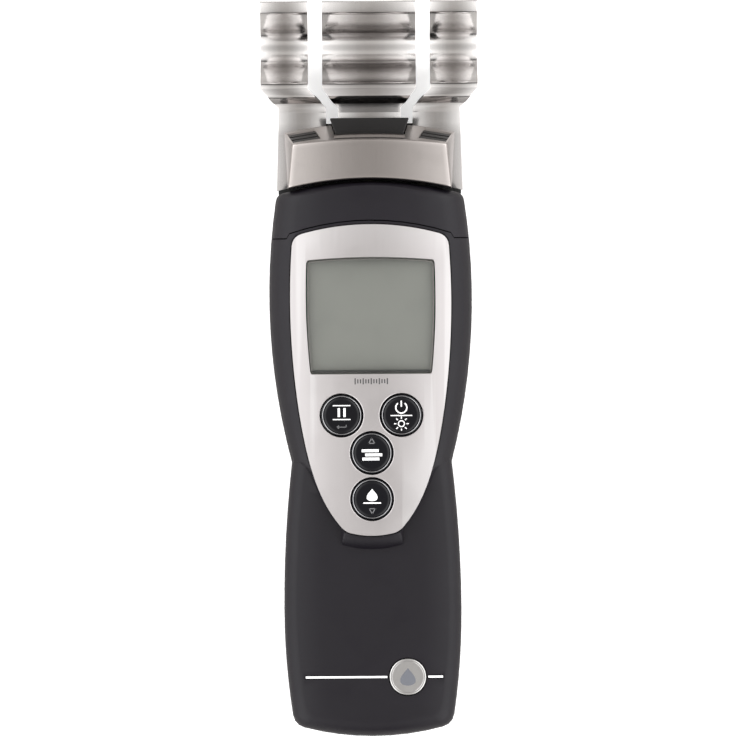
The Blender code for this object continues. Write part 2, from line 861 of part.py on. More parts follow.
def fascia_outline():
    """Outline of the fascia."""
    pieces = [(FASCIA_WIDEST_Y, 4), (None, 13)]
    return outline(fascia_half, fascia_top, fascia_bottom, FASCIA_CORNER, FASCIA_TIP_CORNER, pieces)


def make_front_and_cover():
    """The front shell and the head cover, parted at the seam."""
    shell = front_volume()
    shell = carve(shell, front_hollows())
    recess = grown(fascia_outline(), fascia_half, JOIN_GAP)
    floor_depth = FASCIA_THICKNESS - FASCIA_PROUD + LAY_GAP
    shell = carve(shell, crowned_solid("recess", recess, BODY_DEPTH + WALL,
                                       raised(upper_face, -floor_depth)))
    opening = inset(fascia_outline(), fascia_half, FASCIA_LEDGE, FASCIA_LEDGE, FASCIA_LEDGE)
    shell = carve(shell, prism("opening", loop_of(opening), PARTING_Z + WALL, BODY_DEPTH + WALL))
    cover = copy_of(shell, "head_cover")
    shell = keep_inside(shell, seam_region(True))
    cover = keep_inside(cover, seam_region(False))
    places = boss_places()
    cover = add_front_bosses(cover, places[:2], upper_face)
    shell = add_front_bosses(shell, places[2:4], upper_face)
    shell = add_front_bosses(shell, places[4:], grip_face)
    shell = cut_trim_grooves(shell)
    return [black_housing(shell), black_housing(cover)]


def line_spans():
    """The two runs of the trim line, left and right of the badge."""
    clear = BADGE_RADIUS + JOIN_GAP
    return {"left": (-LINE_LEFT_END, BADGE_X - clear), "right": (BADGE_X + clear, LINE_RIGHT_END)}


def trim_strip(name, span, width, low, high):
    """A strip across the grip that follows its crown."""
    y = GRIP_END_Y + LINE_UP
    rings = []
    for x in between(span[0], span[1], 8):
        z = grip_face(x, y)
        rings.append([(x, y - width / 2, z + low), (x, y + width / 2, z + low),
                      (x, y + width / 2, z + high), (x, y - width / 2, z + high)])
    return lofted(name, rings)


def cut_trim_grooves(shell):
    """Grooves for the trim line and the seat of the badge."""
    depth = LINE_HEIGHT + LAY_GAP
    for span in line_spans().values():
        longer = (span[0] - LAY_GAP / 2, span[1] + LAY_GAP / 2)
        shell = carve(shell, trim_strip("groove", longer, LINE_WIDTH + LAY_GAP, -depth, WALL), "MANIFOLD")
    seat_z = grip_face(BADGE_X + BADGE_RADIUS, 0.0) - depth
    shell = carve(shell, rod("seat", BADGE_X, GRIP_END_Y + LINE_UP, seat_z, BODY_DEPTH,
                             BADGE_RADIUS + LAY_GAP / 2, ROUND_SEGMENTS))
    return shell


def make_trim():
    """White line and round badge on the grip."""
    made = []
    for side, span in line_spans().items():
        shorter = (span[0] + LAY_GAP / 2, span[1] - LAY_GAP / 2)
        line = trim_strip("trim_line_" + side, shorter, LINE_WIDTH - LAY_GAP / 2,
                          -LINE_HEIGHT, LINE_PROUD)
        made.append(white_plastic(line))
    base = grip_face(BADGE_X + BADGE_RADIUS, 0.0) - LINE_HEIGHT
    top = grip_face(BADGE_X, 0.0) + BADGE_PROUD
    radius = BADGE_RADIUS - LAY_GAP / 2
    profile = [(radius, base), (radius, top - BADGE_EDGE),
               (radius - BADGE_EDGE, top), (0.0, top + BADGE_DOME)]
    badge = turned("badge_disc", (BADGE_X, GRIP_END_Y + LINE_UP, 0.0), profile)
    made.append(satin_metal(badge))
    return made


def rear_volume():
    """Outer shape of the back half."""
    bands = (housing_half, REAR_EDGE, REAR_HEAD_EDGE, REAR_EDGE, -REAR_EDGE_HEIGHT)
    return crowned_solid("rear_shell", housing_outline(), PARTING_Z - JOIN_GAP, level(0.0), bands, 1)


def rear_hollow():
    """Space inside the back half."""
    points = inset(housing_outline(2), housing_half, WALL, WALL, WALL)
    return crowned_solid("hollow", points, PARTING_Z + WALL, level(WALL),
                         (housing_half, REAR_EDGE - WALL, 0.0, REAR_EDGE - WALL, -REAR_EDGE_HEIGHT), 1)


def door_region(gap):
    """Space that the battery door takes, open at the end of the grip."""
    half = DOOR_WIDTH / 2 + gap
    y = (GRIP_END_Y - WALL, GRIP_END_Y + DOOR_LENGTH + gap)
    return box("region", (-half, half), y, (-WALL, DOOR_RISE + gap))


def make_rear_and_door():
    """The back shell with its battery door."""
    shell = carve(rear_volume(), rear_hollow())
    door = keep_inside(copy_of(shell, "battery_door"), door_region(0.0))
    shell = carve(shell, door_region(SLIDE_GAP))
    neck = NECK_WIDTH / 2 + JOIN_GAP
    neck_low = PARTING_Z - NECK_DEPTH - 3 * JOIN_GAP
    shell = carve(shell, box("passage", (-neck, neck), (HEAD_TOP_Y - PASSAGE_LENGTH, HEAD_TOP_Y + WALL),
                             (neck_low, PARTING_Z + WALL)))
    boss_top = PARTING_Z - JOIN_GAP
    well_radius = SCREW_HEAD_RADIUS + JOIN_GAP
    boss_radius = well_radius + WELL_WALL
    for x, y in boss_places():
        shell = join(shell, rod("boss", x, y, REAR_BOSS_LOW, boss_top, boss_radius))
    for x, y in boss_places():
        shell = carve(shell, rod("well", x, y, -WALL, HOUSING_SEAT_Z, well_radius))
        shell = carve(shell, rod("hole", x, y, -WALL, PARTING_Z + WALL, SCREW_HOLE_RADIUS))
    door = set_origin(door, (0.0, GRIP_END_Y + DOOR_LENGTH / 2, 0.0))
    return [black_housing(shell), black_housing(door)]


def make_housing_screws():
    """Six screws that hold the halves together."""
    made = []
    for number, (x, y) in enumerate(boss_places(), start=1):
        name = "housing_screw_%d" % number
        made.append(screw(name, x, y, HOUSING_SEAT_Z - LAY_GAP, PARTING_Z + SCREW_DEPTH))
    return made


def screw(name, x, y, head_top, tip):
    """Pan-head screw driven upwards from below, with a cross slot in its head."""
    low = head_top - SCREW_HEAD_HEIGHT
    profile = [(SCREW_HEAD_RADIUS - SCREW_HEAD_CHAMFER, low), (SCREW_HEAD_RADIUS, low + SCREW_HEAD_CHAMFER),
               (SCREW_HEAD_RADIUS, head_top), (SCREW_SHANK_RADIUS, head_top),
               (SCREW_SHANK_RADIUS, tip - SCREW_POINT), (0.0, tip)]
    item = turned(name, (x, y, 0.0), profile, SCREW_SEGMENTS)
    half = SLOT_WIDTH / 2
    z = (low - OVERCUT, low + SLOT_DEPTH)
    item = carve(item, box("slot", (x - SLOT_REACH, x + SLOT_REACH), (y - half, y + half), z))
    item = carve(item, box("slot", (x - half, x + half), (y - SLOT_REACH, y + SLOT_REACH), z))
    return plated_steel(item)


# ---------------------------------------------------------------- fascia and keys

def window_outline(clearance):
    """Outline of the window, made larger by the clearance."""
    pieces = [(None, 6)]
    points = outline(window_half, window_top, level_edge(WINDOW_BOTTOM_Y),
                     WINDOW_CORNER, WINDOW_CORNER, pieces, 4)
    return grown(points, window_half, clearance)


def make_fascia():
    """Silver shield with the window opening and four key holes."""
    top = raised(upper_face, FASCIA_PROUD)
    bands = (fascia_half, FASCIA_EDGE, FASCIA_EDGE, FASCIA_EDGE, FASCIA_EDGE)
    shape = crowned_solid("fascia_bezel", fascia_outline(), BOARD_TOP_Z, top, bands, 10)
    under = grown(fascia_outline(), fascia_half, WALL)
    shape = carve(shape, crowned_solid("under", under, PARTING_Z,
                                       raised(top, -FASCIA_THICKNESS), None, 10))
    opening = loop_of(window_outline(JOIN_GAP))
    shape = carve(shape, prism("opening", opening, PARTING_Z, BODY_DEPTH + WALL))
    for x, y in KEY_PLACES.values():
        shape = carve(shape, rod("hole", x, y, PARTING_Z, BODY_DEPTH + WALL,
                                 KEY_RADIUS + KEY_GAP, ROUND_SEGMENTS), "MANIFOLD")
    return silver_paint(shape)


def make_window():
    """Clear pane in the fascia."""
    low = WINDOW_TOP_Z - WINDOW_THICKNESS
    return clear_plastic(prism("display_window", loop_of(window_outline(0.0)), low, WINDOW_TOP_Z))


def key_top(x):
    """Height of the middle of a key, which follows the fascia's crown."""
    return BODY_DEPTH - bow(UPPER_CROWN_RADIUS, x) - KEY_SINK


def make_keys():
    """Four round caps, each with its origin on its own press axis."""
    made = []
    for name, (x, y) in KEY_PLACES.items():
        top = key_top(x)
        low = top - KEY_HEIGHT
        stem = KEY_RADIUS - KEY_STEM_INSET
        profile = [(stem, low), (stem, low + KEY_STEM_HEIGHT),
                   (KEY_RADIUS, low + KEY_STEM_HEIGHT + KEY_STEM_SLOPE), (KEY_RADIUS, top - KEY_SIDE_DROP),
                   (KEY_RADIUS - KEY_EDGE_INSET, top - KEY_EDGE_DROP),
                   (KEY_RADIUS - KEY_CROWN_INSET, top - KEY_CROWN),
                   (KEY_RADIUS / 2, top - KEY_MIDDLE_DROP), (0.0, top)]
        made.append(gloss_key(turned("key_" + name, (x, y, 0.0), profile)))
    return made


def make_domes():
    """Snap domes on the board, one below each key."""
    made = []
    low = BOARD_TOP_Z + LAY_GAP
    for name, (x, y) in KEY_PLACES.items():
        profile = [(DOME_RADIUS, low), (DOME_RADIUS * 0.9, low + DOME_HEIGHT * 0.45),
                   (DOME_RADIUS * 0.5, low + DOME_HEIGHT * 0.9), (0.0, low + DOME_HEIGHT)]
        made.append(plated_steel(turned("dome_" + name, (x, y, 0.0), profile, 16)))
    return made


def make_membrane():
    """Elastomer mat between the keys and the domes."""
    low = BOARD_TOP_Z + 2 * LAY_GAP + DOME_HEIGHT
    reach = KEY_RADIUS + MEMBRANE_MARGIN
    left, high_y = KEY_PLACES["hold"]
    right = KEY_PLACES["power"][0]
    low_x, low_y = KEY_PLACES["down"]
    loop = [(left - reach, high_y + reach), (right + reach, high_y + reach),
            (right + reach, high_y - reach), (low_x + reach, low_y + KEY_PITCH / 2),
            (low_x + reach, low_y - reach), (low_x - reach, low_y - reach),
            (low_x - reach, low_y + KEY_PITCH / 2), (left - reach, high_y - reach)]
    return rubber(prism("keypad_membrane", loop, low, low + MEMBRANE_THICKNESS))


# ---------------------------------------------------------------- display stack and board

def glass_box():
    """Plan of the display glass: half width, low end and high end."""
    half = min(window_half(WINDOW_BOTTOM_Y), window_half(WINDOW_TOP_Y)) + GLASS_OVERLAP
    return half, WINDOW_BOTTOM_Y - GLASS_OVERLAP, WINDOW_TOP_Y + GLASS_OVERLAP


def make_display_stack():
    """Glass, frame, backlight and the two contact strips."""
    half, low_y, high_y = glass_box()
    glass_top = WINDOW_TOP_Z - WINDOW_THICKNESS - JOIN_GAP
    glass_low = glass_top - GLASS_THICKNESS
    glass = box("lcd_glass", (-half, half), (low_y, high_y), (glass_low, glass_top))
    strip = ZEBRA_WIDTH + JOIN_GAP
    light_top = glass_low - LAY_GAP
    light = box("backlight_panel", (-half, half), (low_y + strip, high_y - strip),
                (light_top - BACKLIGHT_THICKNESS, light_top))
    made = [display_glass(glass), white_plastic(light)]
    ends = {"bottom": (low_y, low_y + ZEBRA_WIDTH), "top": (high_y - ZEBRA_WIDTH, high_y)}
    for name, span in ends.items():
        zebra = box("zebra_strip_" + name, (-half + ZEBRA_INSET, half - ZEBRA_INSET), span,
                    (BOARD_TOP_Z + LAY_GAP, light_top))
        made.append(rubber(zebra))
    inner = half + JOIN_GAP
    outer = inner + FRAME_WALL
    y_in = (low_y - JOIN_GAP, high_y + JOIN_GAP)
    y_out = (y_in[0] - FRAME_WALL, y_in[1] + FRAME_WALL)
    frame = box("lcd_frame", (-outer, outer), y_out, (BOARD_TOP_Z + LAY_GAP, glass_top - LAY_GAP))
    frame = carve(frame, box("hole", (-inner, inner), y_in, (PARTING_Z, BODY_DEPTH)))
    made.append(white_plastic(frame))
    return made


def make_board():
    """Main board, shaped like the fascia and notched round the waist pillars."""
    points = inset(fascia_outline(), fascia_half, BOARD_INSET, BOARD_INSET, BOARD_INSET)
    board = prism("main_board", loop_of(points), BOARD_TOP_Z - BOARD_THICKNESS, BOARD_TOP_Z)
    for x, y in boss_places()[:4]:
        board = carve(board, rod("notch", x, y, PARTING_Z, BODY_DEPTH,
                                 BOSS_RADIUS + 2 * JOIN_GAP, 20))
    return board_laminate(board)


def board_part(name, trim=0.0, past=0.0):
    """Box for a part below the board, made smaller by trim and taller by past."""
    x, up, width, length, height = BOARD_PARTS[name]
    top = BOARD_TOP_Z - BOARD_THICKNESS - LAY_GAP
    half = width / 2 - trim
    reach = length / 2 - trim
    y = WAIST_Y + up
    return box(name, (x - half, x + half), (y - reach, y + reach), (top - height + trim, top + past))


def make_board_parts():
    """What is soldered below the board."""
    made = [chip_resin(board_part("microcontroller")), chip_resin(board_part("measuring_chip")),
            plated_steel(board_part("crystal_can"))]
    can = carve(board_part("shield_can"), board_part("shield_can", CAN_WALL, WALL))
    made.append(plated_steel(can))
    top = BOARD_TOP_Z - BOARD_THICKNESS - LAY_GAP
    low = top - BUZZER_HEIGHT
    profile = [(BUZZER_RADIUS - BUZZER_CHAMFER, low), (BUZZER_RADIUS, low + BUZZER_CHAMFER),
               (BUZZER_RADIUS, top)]
    made.append(chip_resin(turned("buzzer", (0.0, WAIST_Y + BUZZER_UP, 0.0), profile, 20)))
    return made


# ---------------------------------------------------------------- battery

def battery_studs(name, radius, mid_z):
    """The two studs on the end of the battery, or the holes that take them."""
    made = []
    for x in (-STUD_SPACING / 2, STUD_SPACING / 2):
        stud = turned(name, (x, BATTERY_TOP_Y, mid_z), [(radius, -OVERCUT), (radius, TERMINAL_HEIGHT)], 16)
        stud.rotation_euler = (-math.pi / 2, 0.0, 0.0)
        made.append(stud)
    return made


def make_battery():
    """Block battery with two snap studs, foam pad and snap connector."""
    half = BATTERY_WIDTH / 2
    z = (BATTERY_Z, BATTERY_Z + BATTERY_DEPTH)
    mid_z = sum(z) / 2
    cell = box("battery_9v", (-half, half), (BATTERY_Y, BATTERY_TOP_Y), z)
    for stud in battery_studs("stud", STUD_RADIUS, mid_z):
        cell = join(cell, stud)
    foam_half = half - FOAM_SIDE_INSET
    foam = box("battery_foam", (-foam_half, foam_half),
               (BATTERY_Y + FOAM_END_INSET, BATTERY_TOP_Y - FOAM_END_INSET),
               (WALL + LAY_GAP, BATTERY_Z - LAY_GAP))
    snap_half = half - SNAP_SIDE_INSET
    snap_y = BATTERY_TOP_Y + LAY_GAP
    snap = box("battery_snap", (-snap_half, snap_half), (snap_y, snap_y + SNAP_THICKNESS),
               (z[0] + SNAP_FACE_INSET, z[1] - SNAP_FACE_INSET))
    for cup in battery_studs("cup", STUD_RADIUS + JOIN_GAP, mid_z):
        cup.location.y += JOIN_GAP
        snap = carve(snap, cup)
    return [battery_jacket(cell), rubber(foam), rubber(snap)]


def make_leads():
    """Red and black leads from the snap connector to the board."""
    made = []
    start_y = BATTERY_TOP_Y + 2 * LAY_GAP + SNAP_THICKNESS
    start_z = BATTERY_Z + BATTERY_DEPTH / 2
    end_z = BOARD_TOP_Z - BOARD_THICKNESS - LAY_GAP
    end_y = FASCIA_BOTTOM_Y + LEAD_END_UP
    leads = {"red": (-LEAD_SPACING / 2, (0.45, 0.02, 0.02)),
             "black": (LEAD_SPACING / 2, (0.02, 0.02, 0.02))}
    for name, (x, colour) in leads.items():
        shape = bpy.data.curves.new("battery_lead_" + name, "CURVE")
        shape.dimensions = "3D"
        shape.bevel_depth = LEAD_RADIUS
        shape.bevel_resolution = 2
        shape.use_fill_caps = True
        spline = shape.splines.new("POLY")
        spline.points.add(LEAD_STEPS)
        for step in range(LEAD_STEPS + 1):
            angle = step / LEAD_STEPS * math.pi / 2
            y = start_y + (end_y - start_y) * math.sin(angle)
            z = start_z + (end_z - start_z) * (1 - math.cos(angle))
            spline.points[step].co = (x, y, z, 1.0)
        lead = bpy.data.objects.new("battery_lead_" + name, shape)
        bpy.context.scene.collection.objects.link(lead)
        material = bpy.data.materials.new("lead_" + name)
        material.use_nodes = True
        material.node_tree.nodes["Principled BSDF"].inputs["Base Color"].default_value = (*colour, 1.0)
        lead.data.materials.append(material)
        made.append(lead)
    return made


# ---------------------------------------------------------------- electrodes

def rounded_path(corners, steps=5):
    """Path through (y, z, radius) corners, each rounded by an arc."""
    path = [Vector(corners[0][:2])]
    for before, corner, after in zip(corners, corners[1:], corners[2:]):
        here = Vector(corner[:2])
        back = (Vector(before[:2]) - here).normalized()
        ahead = (Vector(after[:2]) - here).normalized()
        half_angle = back.angle(ahead) / 2
        reach = corner[2] / math.tan(half_angle)
        centre = here + (back + ahead).normalized() * (corner[2] / math.sin(half_angle))
        start = here + back * reach - centre
        stop = here + ahead * reach - centre
        turn = math.atan2(start.cross(stop), start.dot(stop))
        for step in range(steps + 1):
            path.append(centre + Matrix.Rotation(turn * step / steps, 2) @ start)
    path.append(Vector(corners[-1][:2]))
    return path


def with_stops(path, stops):
    """Add a point to the path at each of the given heights along Y."""
    out = [path[0]]
    for start, stop in zip(path, path[1:]):
        for y in sorted(stops):
            if start.x + 1e-5 < y < stop.x - 1e-5:
                share = (y - start.x) / (stop.x - start.x)
                out.append(start.lerp(stop, share))
        out.append(stop)
    return out


def blade_path(start_y):
    """Side view of an electrode: flat foot, fold, crest, trough and turned-up tip."""
    base = COLLAR_BASE_Y
    trough = SHEET / 2
    crest = FOOT_Z + CREST_RISE
    lip = crest - LIP_DROP
    corners = [(start_y, FOOT_Z, 0.0), (base + FOLD_UP, FOOT_Z, FOLD_RADIUS),
               (base + CREST_UP, crest, CREST_RADIUS), (base + TROUGH_UP, trough, TROUGH_RADIUS),
               (base + TROUGH_END_UP, trough, TROUGH_END_RADIUS), (base + LIP_UP, lip, LIP_RADIUS),
               (base + BLADE_UP, lip + TIP_RISE, 0.0)]
    return with_stops(rounded_path(corners), [base + NECK_END_UP, base + SHOULDER_UP])


def sheet_strip(name, path, edges, thickness=SHEET, ends=(0.0, 0.0), upright_tip=False):
    """Bent sheet: edges(y) gives its two sides, ends moves the two corners of its foot."""
    rings = []
    for index, point in enumerate(path):
        before = path[max(index - 1, 0)]
        after = path[min(index + 1, len(path) - 1)]
        along = (after - before).normalized()
        normal = Vector((-along.y, along.x)) * (thickness / 2)
        if upright_tip and index == len(path) - 1:
            normal = Vector((0.0, thickness / 2 / along.x))
        left, right = edges(point.x)
        shift = ends if index == 0 else (0.0, 0.0)
        front = point + normal
        back = point - normal
        rings.append([(left, front.x + shift[0], front.y), (right, front.x + shift[1], front.y),
                      (right, back.x + shift[1], back.y), (left, back.x + shift[0], back.y)])
    return lofted(name, rings)


def outer_edges(y):
    """Inner and outer side of the right electrode."""
    outer = ELECTRODE_SPAN / 2
    reach = (y - COLLAR_BASE_Y - NECK_END_UP) / (SHOULDER_UP - NECK_END_UP)
    shift = OUTER_SHIFT * (1 - min(max(reach, 0.0), 1.0))
    flare = FOOT_FLARE * min(max((COLLAR_BASE_Y - y) / (COLLAR_BASE_Y - HEAD_TOP_Y), 0.0), 1.0)
    return outer - OUTER_WIDTH - shift, outer - shift + flare


def centre_edges(y):
    """The two sides of the centre electrode."""
    reach = (y - COLLAR_BASE_Y - NECK_END_UP) / (SHOULDER_UP - NECK_END_UP)
    share = min(max(reach, 0.0), 1.0)
    half = (CENTRE_NECK_WIDTH + (CENTRE_WIDTH - CENTRE_NECK_WIDTH) * share) / 2
    return -half, half


def electrode_screw_places():
    """Where the three electrode screws stand."""
    y = COLLAR_FOOT_Y + FOOT_SCREW_UP
    inner, outer = outer_edges(y)
    x = (inner + outer) / 2 - FOOT_SCREW_SHIFT
    return {"left": (-x, y), "centre": (0.0, y), "right": (x, y)}


def make_electrodes():
    """Left, right and centre electrodes, each with a screw hole in its foot."""
    made = []
    places = electrode_screw_places()
    start = COLLAR_FOOT_Y + FOOT_START
    path = blade_path(start)
    inner, outer = outer_edges(start)
    drops = (-bow(HEAD_ARC_RADIUS, inner), -bow(HEAD_ARC_RADIUS, outer))
    for side, sign in (("left", -1), ("right", 1)):
        edges = (lambda y, s=sign: (s * outer_edges(y)[0], s * outer_edges(y)[1]))
        made.append(sheet_strip("electrode_" + side, path, edges, SHEET, drops, True))
    centre_path = blade_path(COLLAR_FOOT_Y + CENTRE_FOOT_START)
    made.append(sheet_strip("electrode_centre", centre_path, centre_edges, upright_tip=True))
    for item, side in zip(made, ("left", "right", "centre")):
        x, y = places[side]
        carve(item, rod("hole", x, y, FOOT_Z - WALL, FOOT_Z + WALL, SCREW_HOLE_RADIUS))
    return [satin_metal(item) for item in made]


def collar_point(across, along, halves, top_y, top_radius, trim):
    """Plan point of the hood: across runs -1 to 1, along runs 0 at the foot to 1 at the top."""
    half = halves[0] + (halves[1] - halves[0]) * along - trim
    x = across * half
    foot = COLLAR_FOOT_Y - bow(HEAD_ARC_RADIUS, x) + trim
    top = top_y - bow(top_radius, x) - trim
    return x, foot + (top - foot) * along


def rim_places(wide, long):
    """Grid places round the rim of the hood's face, counter-clockwise from the left foot."""
    places = [(i, 0) for i in range(wide)] + [(wide, j) for j in range(long)]
    places += [(i, long) for i in range(wide, 0, -1)] + [(0, j) for j in range(long, 0, -1)]
    return places


def collar_volume(name, trim, low):
    """Hood between its foot on the electrodes and its crowned face."""
    face = raised(upper_face, -COLLAR_BELOW_CROWN - trim)
    base_halves = (COLLAR_FOOT_WIDTH / 2, COLLAR_BASE_WIDTH / 2)
    face_halves = (COLLAR_FOOT_WIDTH / 2, COLLAR_SHOULDER_WIDTH / 2)
    wide = COLLAR_COLUMNS
    long = COLLAR_ROWS
    rim = rim_places(wide, long)
    sides = ((base_halves, COLLAR_BASE_Y, COLLAR_BASE_RADIUS, level(low)),
             (face_halves, COLLAR_TOP_Y, COLLAR_TOP_RADIUS, raised(face, -COLLAR_EDGE)))
    shape = bmesh.new()
    rings = []
    for halves, top_y, radius, z_at in sides:
        ring = []
        for i, j in rim:
            x, y = collar_point(2 * i / wide - 1, j / long, halves, top_y, radius, trim)
            ring.append(shape.verts.new((x, y, z_at(x, y))))
        rings.append(ring)
    grid = {}
    for i in range(wide + 1):
        for j in range(long + 1):
            x, y = collar_point(2 * i / wide - 1, j / long, face_halves, COLLAR_TOP_Y,
                                COLLAR_TOP_RADIUS, trim + COLLAR_EDGE)
            grid[i, j] = shape.verts.new((x, y, face(x, y)))
    rings.append([grid[place] for place in rim])
    shape.faces.new(rings[0])
    for lower, upper in zip(rings, rings[1:]):
        for i in range(len(rim)):
            j = (i + 1) % len(rim)
            shape.faces.new((lower[i], lower[j], upper[j], upper[i]))
    for i in range(wide):
        for j in range(long):
            shape.faces.new((grid[i, j], grid[i + 1, j], grid[i + 1, j + 1], grid[i, j + 1]))
    return add_object(name, shape)


def slope_y(x, z):
    """Where the collar's sloped top lies at a given height."""
    face_z = upper_face(x, 0.0) - COLLAR_BELOW_CROWN
    reach = (face_z - z) / (face_z - COLLAR_RIM_Z)
    high = COLLAR_TOP_Y - bow(COLLAR_TOP_RADIUS, x)
    low = COLLAR_BASE_Y - bow(COLLAR_BASE_RADIUS, x)
    return high + (low - high) * reach


def pocket(sign):
    """Slanted recess in the collar's sloped top."""
    base_outer = COLLAR_BASE_WIDTH / 2 - POCKET_SIDE
    rings = []
    for up, lean in ((POCKET_LOW, 0.0), (POCKET_HIGH, POCKET_LEAN)):
        z = COLLAR_RIM_Z + up
        outer = base_outer - lean
        inner = outer - POCKET_WIDTH
        corners = ((inner, -POCKET_DEPTH), (outer, -POCKET_DEPTH), (outer, WALL), (inner, WALL))
        rings.append([(sign * x, slope_y(x, z) + proud, z) for x, proud in corners])
    return lofted("pocket", rings)


def block_loop(gap):
    """Plan of the insulating block: a wide nose and a narrower body."""
    top = COLLAR_BASE_Y + BLOCK_NOSE + gap
    bottom = top - BLOCK_NOSE_LENGTH - gap
    tail = bottom - BLOCK_BODY_LENGTH
    wide = BLOCK_TOP_WIDTH / 2 + gap
    narrow = BLOCK_WIDTH / 2 + gap
    return [(wide, top), (narrow, bottom), (narrow, tail), (-narrow, tail), (-narrow, bottom), (-wide, top)]


def make_collar():
    """Silver hood with two recesses and a notch for the block."""
    shape = collar_volume("head_collar", 0.0, COLLAR_RIM_Z)
    shape = carve(shape, collar_volume("hollow", COLLAR_WALL, COLLAR_RIM_Z - WALL))
    places = electrode_screw_places()
    for side in ("left", "right"):
        x, y = places[side]
        top = upper_face(x, y) - COLLAR_BELOW_CROWN - COLLAR_WALL / 2
        shape = join(shape, rod("boss", x, y, COLLAR_RIM_Z + JOIN_GAP, top, COLLAR_BOSS_RADIUS), "MANIFOLD")
        shape = carve(shape, rod("pilot", x, y, COLLAR_RIM_Z - WALL, COLLAR_RIM_Z + HEAD_SCREW_DEPTH,
                                 SCREW_HOLE_RADIUS))
    shape = carve(shape, prism("notch", block_loop(JOIN_GAP), COLLAR_RIM_Z - WALL,
                               COLLAR_RIM_Z + BLOCK_HEIGHT + JOIN_GAP), "MANIFOLD")
    for sign in (-1, 1):
        shape = carve(shape, pocket(sign), "MANIFOLD")
    return satin_metal(shape)


def make_block():
    """Black block that holds the foot of the centre electrode."""
    shape = prism("electrode_block", block_loop(0.0), COLLAR_RIM_Z, COLLAR_RIM_Z + BLOCK_HEIGHT)
    x, y = electrode_screw_places()["centre"]
    shape = carve(shape, rod("pilot", x, y, COLLAR_RIM_Z - WALL, COLLAR_RIM_Z + HEAD_SCREW_DEPTH,
                             SCREW_HOLE_RADIUS))
    return black_insulator(shape)


def carrier_top_z():
    """Front of the carrier, which leaves room for the contact strips."""
    return FOOT_Z - SHEET / 2 - 2 * JOIN_GAP - SPRING_THICKNESS


def make_carrier():
    """Black carrier behind the electrodes, with a neck that enters the housing."""
    half = CARRIER_WIDTH / 2
    top = carrier_top_z()
    low = top - CARRIER_THICKNESS
    foot = [(x, COLLAR_FOOT_Y + CARRIER_GAP - bow(HEAD_ARC_RADIUS, x)) for x in between(-half, half, 12)]
    corner_y = COLLAR_BASE_Y - CARRIER_CORNER
    corner_x = half - CARRIER_CORNER
    loop = foot + [(half, corner_y), (corner_x, COLLAR_BASE_Y)]
    loop += [(-corner_x, COLLAR_BASE_Y), (-half, corner_y)]
    shape = prism("electrode_carrier", loop, low, top)
    neck = NECK_WIDTH / 2
    neck_y = (HEAD_TOP_Y - NECK_LENGTH, COLLAR_FOOT_Y + CARRIER_GAP + NECK_OVERLAP)
    shape = join(shape, box("neck", (-neck, neck), neck_y, (PARTING_Z - NECK_DEPTH, top - NECK_DROP)))
    well_radius = SCREW_HEAD_RADIUS + JOIN_GAP
    for x, y in electrode_screw_places().values():
        shape = carve(shape, rod("well", x, y, low - WALL, low + CARRIER_SEAT, well_radius))
        shape = carve(shape, rod("hole", x, y, low, top + WALL, SCREW_HOLE_RADIUS))
    return black_insulator(shape)


def make_electrode_screws():
    """Three screws through the carrier and the electrode feet."""
    made = []
    low = carrier_top_z() - CARRIER_THICKNESS
    for side, (x, y) in electrode_screw_places().items():
        head_top = low + CARRIER_SEAT - LAY_GAP
        tip = COLLAR_RIM_Z + HEAD_SCREW_DEPTH - SCREW_END_GAP
        made.append(screw("electrode_screw_" + side, x, y, head_top, tip))
    return made


def make_gasket():
    """Rubber seal round the neck, between the head and the carrier."""
    gap = (COLLAR_GAP + CARRIER_GAP - GASKET_THICKNESS) / 2
    xs = between(-GASKET_WIDTH / 2, GASKET_WIDTH / 2, 12)
    lower = [(x, head_edge(x) + gap) for x in xs]
    upper = [(x, head_edge(x) + gap + GASKET_THICKNESS) for x in reversed(xs)]
    top = FOOT_Z - SHEET / 2 - JOIN_GAP
    low = carrier_top_z() - CARRIER_THICKNESS
    shape = prism("head_gasket", lower + upper, low, top)
    neck = NECK_WIDTH / 2 + JOIN_GAP
    hole_y = (HEAD_TOP_Y - GASKET_HOLE_LENGTH, HEAD_TOP_Y + GASKET_HOLE_LENGTH)
    hole_z = (PARTING_Z - NECK_DEPTH - JOIN_GAP, top + WALL)
    shape = carve(shape, box("hole", (-neck, neck), hole_y, hole_z))
    return rubber(shape)


def make_contact_springs():
    """Three strips from the electrode feet to the underside of the board."""
    made = []
    run_z = carrier_top_z() + JOIN_GAP + SPRING_THICKNESS / 2
    start_y = electrode_screw_places()["centre"][1] - SCREW_HEAD_RADIUS
    turn_y = HEAD_TOP_Y - NECK_LENGTH - SPRING_TURN
    board_low = BOARD_TOP_Z - BOARD_THICKNESS - LAY_GAP
    corners = [(start_y, run_z, 0.0), (turn_y, run_z, SPRING_RADIUS),
               (turn_y - SPRING_SLOPE, board_low, 0.0)]
    path = rounded_path(corners, 3)
    for side, x in (("left", -SPRING_SPACING), ("centre", 0.0), ("right", SPRING_SPACING)):
        edges = (lambda y, x=x: (x - SPRING_WIDTH / 2, x + SPRING_WIDTH / 2))
        made.append(plated_steel(sheet_strip("contact_spring_" + side, path, edges, SPRING_THICKNESS)))
    return made


def build():
    """Make every piece of the meter."""
    clear_scene()
    make_front_and_cover()
    make_rear_and_door()
    make_housing_screws()
    make_trim()
    make_fascia()
    make_window()
    make_keys()
    make_domes()
    make_membrane()
    make_display_stack()
    make_board()
    make_board_parts()
    make_battery()
    make_leads()
    make_electrodes()
    make_collar()
    make_block()
    make_carrier()
    make_electrode_screws()
    make_gasket()
    make_contact_springs()


build()
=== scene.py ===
"""Looks of a handheld moisture meter: housing, shield, display, keys, hood and bent blades."""
import math

import bmesh
import bpy
from bpy.props import BoolProperty, FloatProperty, FloatVectorProperty, PointerProperty
from mathutils import Matrix, Vector


